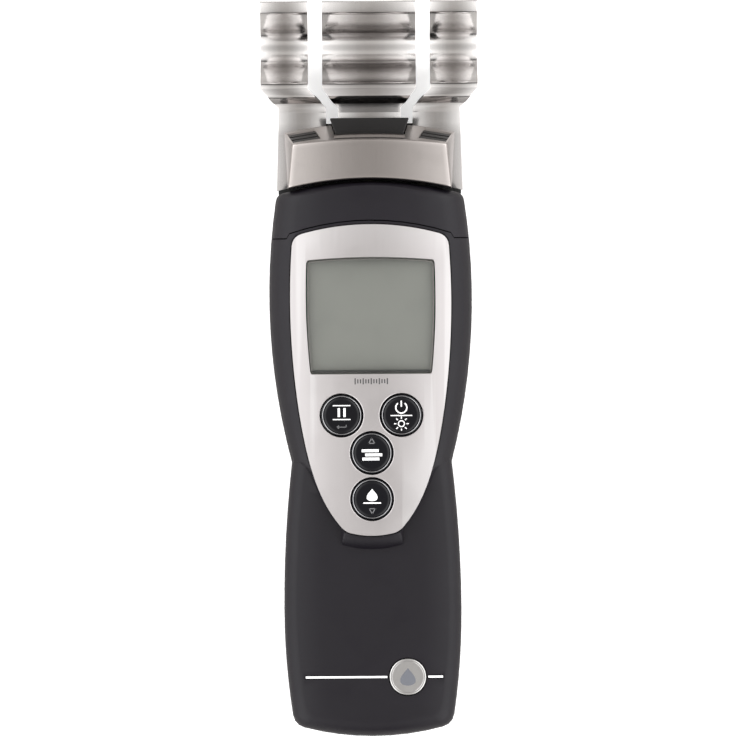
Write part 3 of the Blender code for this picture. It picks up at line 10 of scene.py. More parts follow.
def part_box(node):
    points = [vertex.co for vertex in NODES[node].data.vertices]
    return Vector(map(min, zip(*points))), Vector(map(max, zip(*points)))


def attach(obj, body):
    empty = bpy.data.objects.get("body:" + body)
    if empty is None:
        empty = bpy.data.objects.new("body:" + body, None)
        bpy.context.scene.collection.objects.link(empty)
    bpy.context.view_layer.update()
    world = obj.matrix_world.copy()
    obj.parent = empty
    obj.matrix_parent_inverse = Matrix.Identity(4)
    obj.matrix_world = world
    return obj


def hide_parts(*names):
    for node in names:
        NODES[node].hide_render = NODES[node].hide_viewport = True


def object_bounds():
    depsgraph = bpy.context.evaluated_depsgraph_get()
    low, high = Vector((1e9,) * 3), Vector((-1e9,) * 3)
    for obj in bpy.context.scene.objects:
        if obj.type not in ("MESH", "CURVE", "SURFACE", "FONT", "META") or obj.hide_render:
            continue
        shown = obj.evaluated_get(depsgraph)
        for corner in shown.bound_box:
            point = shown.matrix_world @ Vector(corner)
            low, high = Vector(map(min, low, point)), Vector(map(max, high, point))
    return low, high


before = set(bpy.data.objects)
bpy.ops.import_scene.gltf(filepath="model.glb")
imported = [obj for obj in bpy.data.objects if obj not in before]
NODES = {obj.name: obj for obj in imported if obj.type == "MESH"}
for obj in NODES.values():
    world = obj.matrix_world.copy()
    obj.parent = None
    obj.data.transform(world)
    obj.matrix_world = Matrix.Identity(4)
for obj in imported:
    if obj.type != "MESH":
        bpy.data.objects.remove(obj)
CAD_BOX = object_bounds()

bl_info = {
    "name": "Moisture Meter",
    "version": (1, 0, 0),
    "blender": (4, 5, 0),
    "location": "View3D > Sidebar > Meter",
    "description": "Builds the visible pieces of a handheld moisture meter around its frame",
    "category": "Object",
}

MM = 0.001
HIGH = CAD_BOX[1]
KEYS = ("hold", "power", "up", "down")

# Places that the frame gives
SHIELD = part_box("fascia_bezel")
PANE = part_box("display_window")
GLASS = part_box("lcd_glass")
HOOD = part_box("head_collar")
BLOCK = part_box("electrode_block")
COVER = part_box("head_cover")
CENTRE_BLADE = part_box("electrode_centre")
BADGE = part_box("badge_disc")
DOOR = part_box("battery_door")

CROWN_RADIUS = 110 * MM
FACE_Z = COVER[1].z
BLADE_BASE_Y = 77.7 * MM
RELIEF = 0.05 * MM
CUT_REACH = 5 * MM

# Shield and keys
SHIELD_THICKNESS = 1.55 * MM
PANE_GAP = 0.35 * MM
HOLE_GAP = 0.25 * MM
KEY_CAP = 2.8 * MM
KEY_STEM_INSET = 0.45
KEY_TOP_STEPS = ((0.25 * MM, 0.0), (0.22 * MM, -0.14 * MM), (0.5 * MM, -0.03 * MM), (1.6 * MM, -0.04 * MM))
KEY_RING_INSET = 0.62 * MM
KEY_RING_SIZE = 0.10 * MM
SYMBOL_DROP = 0.21 * MM

# Scale ticks below the window
TICK_PITCH = 0.85 * MM
TICK_WIDTH = 0.38 * MM
LONG_TICK = 1.9 * MM
SHORT_TICK = 1.3 * MM

# Blades: the side view is given by distance from the base, height and radius of each bend
FOOT_Z = 17.6 * MM
CREST_Z = FOOT_Z + 2.9 * MM
FAR_CREST_Z = FOOT_Z + 2.6 * MM
TROUGH_Z = 0.5 * MM
BLADE_BENDS = (
    (3.5 * MM, FOOT_Z, 1.0 * MM), (6.7 * MM, FOOT_Z + 0.4 * MM, 0.9 * MM), (8.6 * MM, CREST_Z, 1.3 * MM),
    (12.4 * MM, CREST_Z, 2.2 * MM), (19.5 * MM, TROUGH_Z, 6.2 * MM), (29.2 * MM, TROUGH_Z, 5.8 * MM),
    (35.2 * MM, FAR_CREST_Z, 1.6 * MM),
)
TIP_MARGIN = 0.22 * MM
TIP_RISE = 2.2 * MM
NECK_END = BLADE_BASE_Y + 5.0 * MM
SHOULDER = BLADE_BASE_Y + 11.1 * MM
NECK_HALF = 10.0 * MM
OUTER_WIDTH = 15.1 * MM
NECK_SHIFT = 5.7 * MM
FLARE = 0.8 * MM
FLARE_LENGTH = 18.6 * MM

# Head end, hood and block
HEAD_END_RADIUS = 111 * MM
HOOD_LOW = HOOD[0].z
HOOD_GAP = 0.9 * MM
HOOD_HALF = 26 * MM
HOOD_BASE_HALF = 27 * MM
HOOD_BASE_RADIUS = 126 * MM
HOOD_FACE_HALF = 24.6 * MM
HOOD_FACE_Y = 72.7 * MM
HOOD_FACE_RADIUS = 197 * MM
HOOD_FACE_DROP = 1.1 * MM
HOOD_EDGE = 0.8 * MM
HOOD_WALL = 1.6 * MM
POCKET_LOW = HOOD_LOW + 2.0 * MM
POCKET_TALL = 13.0 * MM
POCKET_INNER = 17.5 * MM
POCKET_OUTER = 26.2 * MM
POCKET_LEAN = 2.0 * MM
POCKET_DEPTH = 0.7 * MM
RIB_PLACES = (0.20, 0.52, 0.84)
RIB_REACH = 0.10
RIB_GAP = 0.1 * MM
RIB_BACK = 0.9 * MM
RIB_FRONT = 0.3 * MM
LEDGE_HALF = 11.3 * MM
BLOCK_GAP = 0.35 * MM
BLOCK_NOSE = 4.6 * MM
BLOCK_HALF = 11.0 * MM
SEAL_HALF = 29 * MM

# Battery door
GRIP_HALF = 9 * MM
GROOVE_PITCH = 2.4 * MM
GROOVE_WIDTH = 1.1 * MM
GROOVE_DEPTH = 0.4 * MM


# ---------------------------------------------------------------- settings

class MeterSizes(bpy.types.PropertyGroup):
    """Sizes that a user may change."""

    sheet: FloatProperty(
        name="Sheet thickness", description="Thickness of the blades' sheet",
        default=1.0 * MM, min=0.2 * MM, unit="LENGTH")
    bend_steps: FloatProperty(
        name="Bend steps", description="How many facets each bend of a blade has", default=9, min=3)
    shield_edge: FloatProperty(
        name="Shield edge", description="Width of the shield's rounded outer edge",
        default=0.55 * MM, min=0.0, unit="LENGTH")
    lip: FloatProperty(
        name="Window lip", description="Width of the bright slope round the display window",
        default=0.3 * MM, min=0.0, unit="LENGTH")
    mask: FloatProperty(
        name="Window border", description="Width of the grey border printed under the window",
        default=0.5 * MM, min=0.0, unit="LENGTH")
    hole_round: FloatProperty(
        name="Key hole rounding", description="Radius of the rounded rim of a key hole",
        default=0.3 * MM, min=0.0, unit="LENGTH")
    key_round: FloatProperty(
        name="Key rounding", description="Radius of the rounded rim of a key",
        default=0.9 * MM, min=0.0, unit="LENGTH")
    symbol_line: FloatProperty(
        name="Symbol line", description="Width of the lines in the key symbols",
        default=0.42 * MM, min=0.0, unit="LENGTH")
    show_floor: BoolProperty(
        name="Floor", description="Add the pale floor that the meter lies on", default=True)


def colour_setting(name, description, value):
    """A colour that a user may change."""
    return FloatVectorProperty(name=name, description=description, subtype="COLOR",
                               size=3, min=0.0, max=1.0, default=value)


class MeterColours(bpy.types.PropertyGroup):
    """Colours that a user may change."""

    housing: colour_setting("Housing", "Black moulding of the housing", (0.0046, 0.0032, 0.0064))
    shield: colour_setting("Shield", "Silver paint of the shield", (0.61, 0.582, 0.583))
    blade: colour_setting("Blades", "Bright sheet of the blades", (0.84, 0.82, 0.81))
    hood: colour_setting("Hood", "Brushed metal of the hood", (0.465, 0.430, 0.412))
    display: colour_setting("Display", "Grey display, switched off", (0.176, 0.180, 0.162))
    keys: colour_setting("Keys", "Gloss black of the keys", (0.0035, 0.0035, 0.0055))
    symbols: colour_setting("Symbols", "White of the key symbols", (0.80, 0.80, 0.80))
    insulator: colour_setting("Insulator", "Dark moulding that holds the blades", (0.0070, 0.0062, 0.0062))


# ---------------------------------------------------------------- shader groups

def node(tree, kind, inputs=None, **settings):
    """Add a shader node: inputs holds values, or sockets to link from."""
    made = tree.nodes.new(kind)
    for key, value in settings.items():
        setattr(made, key, value)
    for key, value in (inputs or {}).items():
        if isinstance(value, bpy.types.NodeSocket):
            tree.links.new(value, made.inputs[key])
        else:
            made.inputs[key].default_value = value
    return made


def new_group(name, inputs, outputs):
    """A shader group with float or vector inputs and float outputs."""
    tree = bpy.data.node_groups.new(name, "ShaderNodeTree")
    for label, kind, value in inputs:
        socket = tree.interface.new_socket(label, in_out="INPUT", socket_type=kind)
        if value is not None:
            socket.default_value = value
    for label in outputs:
        tree.interface.new_socket(label, in_out="OUTPUT", socket_type="NodeSocketFloat")
    return tree, tree.nodes.new("NodeGroupInput"), tree.nodes.new("NodeGroupOutput")


def moulded_grain():
    """Fine grain of a moulded or painted surface, with broad cloudy patches."""
    inputs = (("Vector", "NodeSocketVector", None), ("Grain", "NodeSocketFloat", 0.2 * MM),
              ("Patch", "NodeSocketFloat", 12 * MM))
    tree, start, end = new_group("moulded_grain", inputs, ("Height", "Patch", "Smudge"))
    per_grain = node(tree, "ShaderNodeMath", {0: 1.0, 1: start.outputs["Grain"]}, operation="DIVIDE")
    per_patch = node(tree, "ShaderNodeMath", {0: 1.0, 1: start.outputs["Patch"]}, operation="DIVIDE")
    fine = node(tree, "ShaderNodeTexNoise", {"Vector": start.outputs["Vector"], "Scale": per_grain.outputs[0],
                                             "Detail": 2.0, "Roughness": 0.6})
    broad = node(tree, "ShaderNodeTexNoise", {"Vector": start.outputs["Vector"],
                                              "Scale": per_patch.outputs[0],
                                              "Detail": 4.0, "Roughness": 0.55})
    smudge = node(tree, "ShaderNodeMapRange", {"Value": broad.outputs[0], "From Min": 0.52, "From Max": 0.72})
    tree.links.new(fine.outputs[0], end.inputs["Height"])
    tree.links.new(broad.outputs[0], end.inputs["Patch"])
    tree.links.new(smudge.outputs[0], end.inputs["Smudge"])
    return tree


def drawn_streaks():
    """Streaks of rolled or brushed metal along Y, with a few deeper scratches."""
    inputs = (("Vector", "NodeSocketVector", None), ("Width", "NodeSocketFloat", 0.12 * MM),
              ("Length", "NodeSocketFloat", 25 * MM))
    tree, start, end = new_group("drawn_streaks", inputs, ("Streak", "Scratch"))
    across = node(tree, "ShaderNodeMath", {0: 1.0, 1: start.outputs["Width"]}, operation="DIVIDE")
    along = node(tree, "ShaderNodeMath", {0: 1.0, 1: start.outputs["Length"]}, operation="DIVIDE")
    stretch = node(tree, "ShaderNodeCombineXYZ", {"X": across.outputs[0], "Y": along.outputs[0],
                                                  "Z": along.outputs[0]})
    drawn = node(tree, "ShaderNodeVectorMath", {0: start.outputs["Vector"], 1: stretch.outputs[0]},
                 operation="MULTIPLY")
    fine = node(tree, "ShaderNodeTexNoise", {"Vector": drawn.outputs[0], "Scale": 1.0, "Detail": 3.0,
                                             "Roughness": 0.65})
    rare = node(tree, "ShaderNodeTexNoise", {"Vector": drawn.outputs[0], "Scale": 0.35, "Detail": 0.0})
    scratch = node(tree, "ShaderNodeMapRange", {"Value": rare.outputs[0], "From Min": 0.66, "From Max": 0.74})
    tree.links.new(fine.outputs[0], end.inputs["Streak"])
    tree.links.new(scratch.outputs[0], end.inputs["Scratch"])
    return tree


def painted_rim_highlight():
    """Painted highlight on convex edges: they are made slightly lighter."""
    inputs = (("Amount", "NodeSocketFloat", 0.4),)
    tree, start, end = new_group("painted_rim_highlight", inputs, ("Rim",))
    place = node(tree, "ShaderNodeNewGeometry")
    convex = node(tree, "ShaderNodeMapRange", {"Value": place.outputs["Pointiness"], "From Min": 0.52,
                                               "From Max": 0.62})
    rim = node(tree, "ShaderNodeMath", {0: convex.outputs[0], 1: start.outputs["Amount"]},
               operation="MULTIPLY")
    tree.links.new(rim.outputs[0], end.inputs["Rim"])
    return tree


GROUPS = {}


def group(tree, name, inputs):
    """Place one of the shared groups in a material."""
    if name not in GROUPS:
        GROUPS[name] = {"moulded_grain": moulded_grain, "drawn_streaks": drawn_streaks,
                        "painted_rim_highlight": painted_rim_highlight}[name]()
    made = tree.nodes.new("ShaderNodeGroup")
    made.node_tree = GROUPS[name]
    for key, value in inputs.items():
        if isinstance(value, bpy.types.NodeSocket):
            tree.links.new(value, made.inputs[key])
        else:
            made.inputs[key].default_value = value
    return made


def shade(colour, share):
    """A colour made lighter or darker, with its alpha."""
    return (*[min(value * share, 1.0) for value in colour], 1.0)


def start_material(name, metallic, specular=0.5, coat=0.0):
    """An empty Principled material with its constants set."""
    material = bpy.data.materials.new(name)
    material.use_nodes = True
    tree = material.node_tree
    shader = tree.nodes["Principled BSDF"]
    shader.inputs["Metallic"].default_value = metallic
    shader.inputs["Specular IOR Level"].default_value = specular
    shader.inputs["Coat Weight"].default_value = coat
    shader.inputs["Coat Roughness"].default_value = 0.08
    place = node(tree, "ShaderNodeTexCoord").outputs["Object"]
    return material, tree, shader, place


def mixed(tree, factor, low, high):
    """Colour between two colours, by a factor socket."""
    made = node(tree, "ShaderNodeMix", {"Factor": factor, 6: low, 7: high}, data_type="RGBA")
    return made.outputs[2]


def ramp(tree, value, stops):
    """Colour ramp through stops of place, level and warmth."""
    made = node(tree, "ShaderNodeValToRGB", {"Fac": value})
    elements = made.color_ramp.elements
    while len(elements) < len(stops):
        elements.new(0.5)
    for element, (place, level, warm) in zip(elements, stops):
        element.position = place
        element.color = (level, level * (warm + 1) / 2, level * warm, 1.0)
    return made.outputs[0]


def moulded(name, colour, roughness, grain=0.22 * MM, bump=0.25, spread=0.12, specular=0.5, coat=0.0,
            metallic=0.0, rim=0.35):
    """Moulded plastic, rubber or paint: fine grain, cloudy patches and a painted highlight on convex edges.
    """
    material, tree, shader, place = start_material(name, metallic, specular, coat)
    surface = group(tree, "moulded_grain", {"Vector": place, "Grain": grain})
    edge = group(tree, "painted_rim_highlight", {"Amount": rim})
    patchy = mixed(tree, surface.outputs["Patch"], shade(colour, 1 - spread), shade(colour, 1 + spread))
    # painted highlight: convex edges mixed towards a lighter colour by the rim amount
    rim_highlighted = mixed(tree, edge.outputs["Rim"], patchy, shade(colour, 1.9))
    tree.links.new(rim_highlighted, shader.inputs["Base Color"])
    rough = node(tree, "ShaderNodeMapRange", {"Value": surface.outputs["Smudge"], "To Min": roughness,
                                              "To Max": roughness * 0.86})
    tree.links.new(rough.outputs[0], shader.inputs["Roughness"])
    relief = node(tree, "ShaderNodeBump", {"Strength": bump, "Distance": grain / 4,
                                           "Height": surface.outputs["Height"]})
    tree.links.new(relief.outputs[0], shader.inputs["Normal"])
    return material


def drawn_metal(name, colour, roughness, width=0.12 * MM, length=25 * MM, bump=0.12, contrast=0.10,
                turn=0.0, scratch=0.02, bent=False):
    """Rolled, brushed or plated metal with streaks and faint scratches; with bent set, painted shade and dark
    reflections in bands at the bends.
    """
    material, tree, shader, place = start_material(name, 1.0)
    turned = node(tree, "ShaderNodeMapping", {"Vector": place, "Rotation": (0.0, 0.0, turn)})
    streaks = group(tree, "drawn_streaks", {"Vector": turned.outputs[0], "Width": width, "Length": length})
    cloud = group(tree, "moulded_grain", {"Vector": place, "Grain": 0.6 * MM, "Patch": 9 * MM})
    lined = mixed(tree, streaks.outputs["Streak"], shade(colour, 1 - contrast), shade(colour, 1 + contrast))
    clouded = mixed(tree, cloud.outputs["Smudge"], lined, shade(colour, 0.93))
    # painted shade: dark bands at the blade's bends stand in for shade and reflections
    seen = painted_bend_shade(tree, place, clouded) if bent else clouded
    tree.links.new(seen, shader.inputs["Base Color"])
    rough = node(tree, "ShaderNodeMapRange", {"Value": streaks.outputs["Streak"], "From Min": 0.25,
                                              "From Max": 0.75, "To Min": roughness * 0.92,
                                              "To Max": roughness * 1.1})
    worn = node(tree, "ShaderNodeMath", {0: streaks.outputs["Scratch"], 1: scratch, 2: rough.outputs[0]},
                operation="MULTIPLY_ADD")
    tree.links.new(worn.outputs[0], shader.inputs["Roughness"])
    relief = node(tree, "ShaderNodeBump", {"Strength": bump, "Distance": width / 6,
                                           "Height": streaks.outputs["Streak"]})
    tree.links.new(relief.outputs[0], shader.inputs["Normal"])
    return material


# Places along a blade and how far its colour is darkened there: painted shade and dark reflections at the
# bends
BEND_SHADE_BANDS = ((60 * MM, 0.9), (74 * MM, 0.8), (78 * MM, 0.0), (83.2 * MM, 0.10), (84.6 * MM, 0.90),
              (86.2 * MM, 0.35), (88.6 * MM, 0.30), (90.4 * MM, 0.45), (91.2 * MM, 0.80), (92.6 * MM, 0.30),
              (94.0 * MM, 0.55), (95.4 * MM, 0.90), (97.4 * MM, 0.40), (98.6 * MM, 0.0), (105.6 * MM, 0.0),
              (107.0 * MM, 0.95), (108.6 * MM, 0.20), (117 * MM, 0.05))


def painted_bend_shade(tree, place, seen):
    """Paint shade and dark reflections into a colour in soft bands along Y where the sheet is bent, more on
    the centre blade.
    """
    parts = node(tree, "ShaderNodeSeparateXYZ", {"Vector": place})
    first, last = BEND_SHADE_BANDS[0][0], BEND_SHADE_BANDS[-1][0]
    wave = node(tree, "ShaderNodeTexNoise", {"Vector": place, "Scale": 160.0, "Detail": 1.0})
    lift = node(tree, "ShaderNodeMath", {0: wave.outputs[0], 1: 0.9 * MM, 2: parts.outputs[1]},
                operation="MULTIPLY_ADD")
    along = node(tree, "ShaderNodeMapRange", {"Value": lift.outputs[0], "From Min": first + 0.45 * MM,
                                              "From Max": last + 0.45 * MM})
    stops = [((y - first) / (last - first), share, 1.0) for y, share in BEND_SHADE_BANDS]
    bands = ramp(tree, along.outputs[0], stops)
    across = node(tree, "ShaderNodeMath", {0: parts.outputs[0]}, operation="ABSOLUTE")
    outer = node(tree, "ShaderNodeMapRange", {"Value": across.outputs[0], "From Min": 15.0 * MM,
                                              "From Max": 17.0 * MM, "To Min": 0.92, "To Max": 0.42})
    amount = node(tree, "ShaderNodeMath", {0: bands, 1: outer.outputs[0]}, operation="MULTIPLY")
    # painted shade: the dark brownish colour of the bend bands
    return mixed(tree, amount.outputs[0], seen, (0.085, 0.068, 0.064, 1.0))


def display_material(colour):
    """Reflective display behind its window: even grey, with a painted shadow that darkens its edges, and fine
    cells.
    """
    material, tree, shader, place = start_material("display_cells", 0.0, 0.25)
    parts = node(tree, "ShaderNodeSeparateXYZ", {"Vector": place})
    centre_y = (PANE[0].y + PANE[1].y) / 2
    across = node(tree, "ShaderNodeMath", {0: parts.outputs[0]}, operation="ABSOLUTE")
    up = node(tree, "ShaderNodeMath", {0: parts.outputs[1], 1: centre_y}, operation="SUBTRACT")
    tall = node(tree, "ShaderNodeMath", {0: up.outputs[0]}, operation="ABSOLUTE")
    side = node(tree, "ShaderNodeMapRange", {"Value": across.outputs[0], "From Min": PANE[1].x - 2.6 * MM,
                                             "From Max": PANE[1].x - 0.6 * MM})
    ends = node(tree, "ShaderNodeMapRange", {"Value": tall.outputs[0],
                                             "From Min": PANE[1].y - centre_y - 2.6 * MM,
                                             "From Max": PANE[1].y - centre_y - 0.6 * MM})
    edge = node(tree, "ShaderNodeMath", {0: side.outputs[0], 1: ends.outputs[0]}, operation="MAXIMUM")
    surface = group(tree, "moulded_grain", {"Vector": place, "Grain": 0.10 * MM, "Patch": 30 * MM})
    even = mixed(tree, surface.outputs["Patch"], shade(colour, 0.96), shade(colour, 1.04))
    # painted shadow: the display's edges darker, as if shaded by the bezel
    shadow_edged = mixed(tree, edge.outputs[0], even, shade(colour, 0.84))
    tree.links.new(shadow_edged, shader.inputs["Base Color"])
    shader.inputs["Roughness"].default_value = 0.35
    relief = node(tree, "ShaderNodeBump", {"Strength": 0.1, "Distance": 0.02 * MM,
                                           "Height": surface.outputs["Height"]})
    tree.links.new(relief.outputs[0], shader.inputs["Normal"])
    return material


def window_material():
    """Clear pane: mostly seen through, with a gloss of its own and faint dust."""
    material, tree, shader, place = start_material("clear_pane", 0.0, 0.6)
    dust = group(tree, "moulded_grain", {"Vector": place, "Grain": 0.35 * MM, "Patch": 8 * MM})
    cover = node(tree, "ShaderNodeMapRange", {"Value": dust.outputs["Smudge"], "To Min": 0.10,
                                              "To Max": 0.13})
    tree.links.new(cover.outputs[0], shader.inputs["Alpha"])
    shader.inputs["Base Color"].default_value = (0.20, 0.21, 0.20, 1.0)
    shader.inputs["Roughness"].default_value = 0.06
    return material


def board_material():
    """Green board with copper tracks under its solder mask."""
    material, tree, shader, place = start_material("solder_mask", 0.0, 0.5, 0.3)
    tracks = node(tree, "ShaderNodeTexBrick", {"Vector": place, "Scale": 420.0, "Mortar Size": 0.06,
                                               "Color1": (0.010, 0.12, 0.045, 1.0),
                                               "Color2": (0.014, 0.15, 0.060, 1.0),
                                               "Mortar": (0.030, 0.24, 0.10, 1.0)})
    tree.links.new(tracks.outputs["Color"], shader.inputs["Base Color"])
    surface = group(tree, "moulded_grain", {"Vector": place, "Grain": 0.3 * MM})
    rough = node(tree, "ShaderNodeMapRange", {"Value": surface.outputs["Patch"], "To Min": 0.3,
                                              "To Max": 0.45})
    tree.links.new(rough.outputs[0], shader.inputs["Roughness"])
    return material


MADE = {}


def finish(name):
    """A finish by its plain name, made once and shared."""
    if name not in MADE:
        MADE[name] = FINISHES[name](bpy.context.scene.meter_colours)
    return MADE[name]


FINISHES = {
    "housing": lambda c: moulded("housing_moulding", c.housing, 0.48, 0.20 * MM, 0.30, 0.10, 0.34),
    "shield": lambda c: moulded("shield_paint", c.shield, 0.34, 0.08 * MM, 0.10, 0.015, metallic=0.85,
                                rim=0.2),
    # bent=True paints shade and dark reflections in bands at the blade's bends
    "blade": lambda c: drawn_metal("blade_sheet", c.blade, 0.17, 0.25 * MM, 18 * MM, 0.06, 0.05, bent=True),
    "hood": lambda c: drawn_metal("hood_brushed", c.hood, 0.29, 0.09 * MM, 12 * MM, 0.025, 0.012),
    "contact": lambda c: drawn_metal("contact_strip", (0.06, 0.055, 0.05), 0.45, 0.2 * MM, 4 * MM, 0.1, 0.06),
    "key_ring": lambda c: drawn_metal("key_ring", (0.50, 0.50, 0.51), 0.30, 0.1 * MM, 1.0 * MM, 0.05, 0.05),
    "plated": lambda c: drawn_metal("plated_steel", (0.60, 0.59, 0.57), 0.25, 0.2 * MM, 1.5 * MM, 0.1, 0.06),
    "badge": lambda c: drawn_metal("badge_satin", (0.66, 0.65, 0.64), 0.30, 0.08 * MM, 4 * MM, 0.15, 0.10,
                                   0.6),
    "drop": lambda c: moulded("badge_drop", (0.10, 0.105, 0.12), 0.35, 0.1 * MM, 0.1),
    "key": lambda c: moulded("key_gloss", c.keys, 0.20, 0.3 * MM, 0.03, 0.1, specular=0.35, rim=0.2),
    "symbol": lambda c: moulded("symbol_white", c.symbols, 0.45, 0.1 * MM, 0.1, 0.02, rim=0.0),
    "faint": lambda c: moulded("symbol_grey", (0.13, 0.13, 0.135), 0.45, 0.1 * MM, 0.1, 0.02, rim=0.0),
    "mask": lambda c: moulded("window_border", (0.175, 0.168, 0.155), 0.4, 0.1 * MM, 0.05, 0.05, rim=0.0),
    # painted shadow: near-black colour of the bar along the window's bottom
    "shadow_bar": lambda c: moulded("window_shadow_bar", (0.014, 0.014, 0.013), 0.5, 0.1 * MM, 0.05, 0.05, rim=0.0),
    "mark": lambda c: moulded("shield_mark", (0.055, 0.055, 0.058), 0.45, 0.1 * MM, 0.1, 0.05, rim=0.0),
    "trim": lambda c: moulded("trim_white", (0.82, 0.82, 0.82), 0.5, 0.15 * MM, 0.1, 0.03, rim=0.0),
    "insulator": lambda c: moulded("insulator_moulding", c.insulator, 0.45, 0.25 * MM, 0.25, 0.12, 0.3),
    "rubber": lambda c: moulded("seal_rubber", (0.030, 0.030, 0.030), 0.80, 0.3 * MM, 0.4, 0.15, rim=0.1),
    "white": lambda c: moulded("white_moulding", (0.72, 0.72, 0.70), 0.45, 0.3 * MM, 0.1, 0.03, rim=0.0),
    "chip": lambda c: moulded("chip_resin", (0.020, 0.020, 0.022), 0.55, 0.12 * MM, 0.4, 0.1),
    "battery": lambda c: moulded("battery_jacket", (0.10, 0.11, 0.13), 0.32, 0.5 * MM, 0.1, 0.05,
                                 metallic=0.4),
    "red": lambda c: moulded("lead_red", (0.45, 0.02, 0.02), 0.35, 0.3 * MM, 0.1, 0.05),
    "black": lambda c: moulded("lead_black", (0.02, 0.02, 0.02), 0.35, 0.3 * MM, 0.1, 0.05),
    "display": lambda c: display_material(c.display),
    "pane": lambda c: window_material(),
    "board": lambda c: board_material(),
}


def paint(piece, name):
    """Give a piece one of the finishes."""
    piece.data.materials.clear()
    piece.data.materials.append(finish(name))


# ---------------------------------------------------------------- working on pieces

def choose(piece):
    """Make one piece the only selected and active one."""
    bpy.ops.object.select_all(action="DESELECT")
    piece.select_set(True)
    bpy.context.view_layer.objects.active = piece


def open_piece(piece):
    """Start editing a piece."""
    choose(piece)
    bpy.ops.object.mode_set(mode="EDIT")
    bpy.ops.mesh.select_mode(type="VERT")
    return bmesh.from_edit_mesh(piece.data)


def close_piece():
    """Stop editing, with the faces pointing outwards."""
    bpy.ops.mesh.select_all(action="SELECT")
    bpy.ops.mesh.remove_doubles(threshold=1e-7)
    bpy.ops.mesh.normals_make_consistent(inside=False)
    bpy.ops.object.mode_set(mode="OBJECT")


def pick(piece, kind, test):
    """In edit mode, select only the vertices, edges or faces that pass a test."""
    bpy.ops.mesh.select_mode(type=kind)
    bpy.ops.mesh.select_all(action="DESELECT")
    shape = bmesh.from_edit_mesh(piece.data)
    parts = {"VERT": shape.verts, "EDGE": shape.edges, "FACE": shape.faces}[kind]
    for part in parts:
        if test(part):
            part.select_set(True)
    bmesh.update_edit_mesh(piece.data)


def modify(piece, kind, **values):
    """Add one modifier and apply it."""
    choose(piece)
    change = piece.modifiers.new(kind.lower(), kind)
    for key, value in values.items():
        setattr(change, key, value)
    bpy.ops.object.modifier_apply(modifier=change.name)


def cut(piece, tool, solver="EXACT"):
    """Cut the tool out of the piece and remove the tool."""
    modify(piece, "BOOLEAN", operation="DIFFERENCE", solver=solver, object=tool)
    bpy.data.objects.remove(tool, do_unlink=True)


def round_edges(piece, width, segments=2, angle=35.0):
    """Round every sharp edge of a piece."""
    modify(piece, "BEVEL", width=width, segments=segments, limit_method="ANGLE",
           angle_limit=math.radians(angle), harden_normals=False)


def smooth(piece, angle=32.0):
    """Smooth shading, with edges sharper than the angle kept crisp."""
    choose(piece)
    bpy.ops.object.shade_smooth_by_angle(angle=math.radians(angle))


def apply_place(piece):
    """Work a piece's own place, turn and scale into its mesh."""
    choose(piece)
    bpy.ops.object.transform_apply(location=True, rotation=True, scale=True)


def settle(piece, name, body, finish_name, slot, *nodes):
    """Name a finished piece, paint it and hang it on its body."""
    apply_place(piece)
    piece.name = name
    piece.data.name = name
    paint(piece, finish_name)
    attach(piece, body)
    if nodes:
        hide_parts(*nodes)
    return piece


def copy_node(name, label):
    """A merged copy of a frame node, ready to be refined."""
    source = NODES[name]
    piece = bpy.data.objects.new(label, source.data.copy())
    bpy.context.scene.collection.objects.link(piece)
    piece.data.materials.clear()
    open_piece(piece)
    bpy.ops.mesh.select_all(action="SELECT")
    bpy.ops.mesh.remove_doubles(threshold=1e-6)
    bpy.ops.mesh.customdata_custom_splitnormals_clear()
    bpy.ops.object.mode_set(mode="OBJECT")
    return piece


def join_pieces(pieces):
    """Join several meshes into the first one."""
    choose(pieces[0])
    for piece in pieces:
        piece.select_set(True)
    bpy.ops.object.join()
    return bpy.context.object


def add_plate(loop, low, high):
    """Plate over a closed loop of points: a disc pulled to the outline and extruded."""
    bpy.ops.object.select_all(action="DESELECT")
    bpy.ops.mesh.primitive_circle_add(vertices=len(loop), radius=0.01, fill_type="NGON")
    piece = bpy.context.object
    for vertex, place in zip(piece.data.vertices, loop):
        vertex.co = (place[0], place[1], low)
    open_piece(piece)
    bpy.ops.mesh.select_all(action="SELECT")
    bpy.ops.mesh.extrude_region_move(TRANSFORM_OT_translate={"value": (0.0, 0.0, high - low)})
    close_piece()
    return piece


def add_round(place, radius, low, high, sides=72):
    """Upright cylinder between two heights."""
    bpy.ops.object.select_all(action="DESELECT")
    bpy.ops.mesh.primitive_cylinder_add(vertices=sides, radius=radius, depth=high - low,
                                        location=(place[0], place[1], (low + high) / 2))
    piece = bpy.context.object
    apply_place(piece)
    return piece


def crown(piece, radius, spacing=1.2 * MM):
    """Cut a piece into narrow strips and let it fall away along an arc across X."""
    shape = open_piece(piece)
    reach = max(abs(vertex.co.x) for vertex in shape.verts)
    count = int(reach / spacing)
    for step in range(-count, count + 1):
        bpy.ops.mesh.select_all(action="SELECT")
        bpy.ops.mesh.bisect(plane_co=(step * spacing, 0.0, 0.0), plane_no=(1.0, 0.0, 0.0))
    shape = bmesh.from_edit_mesh(piece.data)
    for vertex in shape.verts:
        vertex.co.z -= bow(radius, vertex.co.x)
    bmesh.update_edit_mesh(piece.data)
    close_piece()


# ---------------------------------------------------------------- curves of the shield

def bow(radius, distance):
    """How far an arc of this radius falls away at a distance from its crown."""
    return radius - math.sqrt(radius * radius - distance * distance)


def between(start, stop, steps):
    """Evenly spaced values with both ends."""
    return [start + (stop - start) * step / steps for step in range(steps + 1)]


def rounded(before, corner, after, steps=5):
    """Points of a rounded corner, without its two ends."""
    points = []
    for step in range(1, steps):
        t = step / steps
        share = ((1 - t) ** 2, 2 * t * (1 - t), t * t)
        points.append(tuple(share[0] * before[k] + share[1] * corner[k] + share[2] * after[k]
                            for k in (0, 1)))
    return points


def meeting(half_at, edge):
    """Height at which a side meets its end edge."""
    y = edge(0.0)
    for _ in range(30):
        y = edge(half_at(y))
    return y


